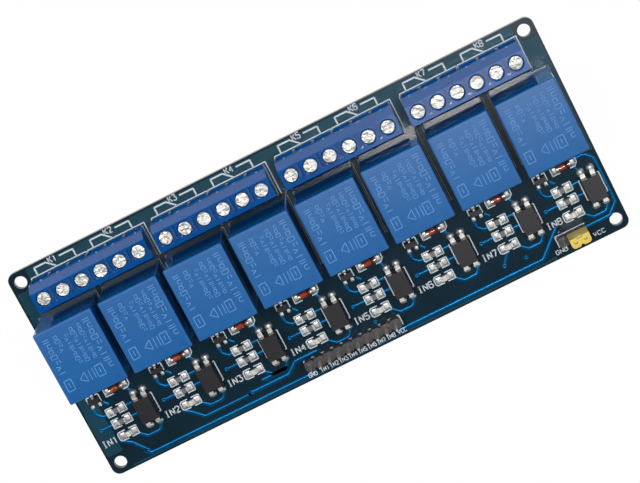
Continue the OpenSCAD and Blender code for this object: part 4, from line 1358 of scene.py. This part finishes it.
@dataclass
class Studio:
    """Floor, lamps, surroundings and camera."""

    camera_at: tuple[float, float, float] = (53.2, 116.5, 526.6)
    aim_at: tuple[float, float, float] = (1.48, 1.81, 1.6)
    turn: float = 27.59
    lens: float = 127.95
    floor_half: float = 6.0
    floor_glow: float = 0.97

    def build(self) -> None:
        """Builds the whole studio."""
        self.camera()
        self.floor()
        self.world()
        self.lamp("overhead_panel", (0.44, 0.21, 1.45), (0.44, 0.21, 0.0), (1.0, 1.0), 11.2)
        self.lamp("rear_panel", (-0.55, 0.45, 1.4), (-0.55, 0.45, 0.0), (0.6, 0.6), 7.6)
        self.lamp("left_panel", (-1.3, -0.5, 0.95), (0.0, 0.0, 0.0), (0.7, 0.7), 2.6)
        self.lamp("right_panel", (1.3, -0.7, 0.95), (0.0, 0.0, 0.0), (0.7, 0.7), 2.6)
        self.lamp("low_lamp", (1.5, 1.3, 0.45), (0.0, 0.0, 0.0), (0.2, 0.2), 2.2)
        for place in (-0.045, 0.0, 0.055, 0.1):
            self.lamp("small_lamp", (place, 0.285, 1.45), (0.0, 0.0, 0.0), (0.028, 0.06), 1.1)
        bpy.context.scene.view_settings.view_transform = "Standard"

    def camera(self) -> None:
        """Sets the camera up, turned about its view line."""
        data = bpy.data.cameras.new("camera")
        data.lens = self.lens
        data.sensor_width = 36.0
        camera = bpy.data.objects.new("camera", data)
        bpy.context.scene.collection.objects.link(camera)
        place, aim = Vector(self.camera_at) * MM, Vector(self.aim_at) * MM
        back = (place - aim).normalized()
        across = Vector((0, 1, 0)).cross(back).normalized()
        along = back.cross(across)
        angle = math.radians(self.turn)
        up = along * math.cos(angle) + across * math.sin(angle)
        right = up.cross(back)
        turned = Matrix((right, up, back)).transposed().to_4x4()
        camera.matrix_world = Matrix.Translation(place) @ turned
        bpy.context.scene.camera = camera

    def floor(self) -> None:
        """A white floor that keeps the part's shadow."""
        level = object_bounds()[0].z
        half = self.floor_half
        mesh = bpy.data.meshes.new("floor")
        corners = [(-half, -half, level), (half, -half, level), (half, half, level), (-half, half, level)]
        mesh.from_pydata(corners, [], [(0, 1, 2, 3)])
        floor = bpy.data.objects.new("floor", mesh)
        bpy.context.scene.collection.objects.link(floor)
        material = bpy.data.materials.new("floor_white")
        material.use_nodes = True
        material.node_tree.nodes.clear()
        g = Graph(material.node_tree)
        camera = g.node("ShaderNodeLightPath", out="Is Camera Ray")
        glossy = g.node("ShaderNodeLightPath", out="Is Glossy Ray")
        through = g.node("ShaderNodeLightPath", out="Is Transmission Ray")
        seen = camera.math("MAXIMUM", glossy).math("MAXIMUM", through)
        matt = g.node("ShaderNodeBsdfDiffuse", inputs={"Color": (0.9, 0.9, 0.9, 1.0)})
        white = g.node("ShaderNodeEmission", inputs={"Color": (1, 1, 1, 1), "Strength": 1.0})
        both = g.node("ShaderNodeMixShader", inputs={0: seen * self.floor_glow, 1: matt, 2: white})
        g.node("ShaderNodeOutputMaterial", inputs={"Surface": both})
        floor.data.materials.append(material)
        floor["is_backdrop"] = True

    def world(self) -> None:
        """Soft light from all round, dim overhead."""
        world = bpy.data.worlds.new("studio")
        bpy.context.scene.world = world
        world.use_nodes = True
        world.node_tree.nodes.clear()
        g = Graph(world.node_tree)
        way = g.node("ShaderNodeTexCoord", out="Generated")
        height = g.node("ShaderNodeSeparateXYZ", inputs={0: way}, out="Z")
        stops = [
            (0.0, (0.6, 0.63, 0.67, 1)), (0.4, (0.16, 0.17, 0.19, 1)), (0.85, (0.03, 0.035, 0.04, 1))
        ]
        sky = g.node("ShaderNodeValToRGB", {"stops": stops}, {"Fac": height}, "Color")
        glow = g.node("ShaderNodeBackground", inputs={"Color": sky, "Strength": 0.8})
        g.node("ShaderNodeOutputWorld", inputs={"Surface": glow})

    @staticmethod
    def lamp(
        name: str,
        place: tuple[float, float, float],
        aim: tuple[float, float, float],
        size: Point,
        power: float,
    ) -> None:
        """Hangs one rectangular lamp.

        Args:
            name: Its name.
            place: Where it hangs, in metres.
            aim: What it points at.
            size: Its width and height.
            power: Its power in watts.
        """
        data = bpy.data.lights.new(name, "AREA")
        data.shape = "RECTANGLE"
        data.size, data.size_y = size
        data.energy = power
        lamp = bpy.data.objects.new(name, data)
        bpy.context.scene.collection.objects.link(lamp)
        lamp.location = place
        lamp.rotation_euler = (Vector(aim) - Vector(place)).to_track_quat("-Z", "Y").to_euler()


def main() -> None:
    """Builds the scene in order."""
    logging.basicConfig(level=logging.INFO, format="%(name)s %(message)s")
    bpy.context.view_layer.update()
    Studio().build()
    layout = Layout()
    ribbon, scatter = RibbonTree(), ScatterTree()
    NodeFinishes().dress(frame["nodes"])
    CopperWork(layout, ribbon, scatter).build()
    Legend(layout, ribbon).build()
    SolderWork(layout, scatter).build()
    DiodeBands(layout, scatter).build()


if __name__ == "__main__":
    main()
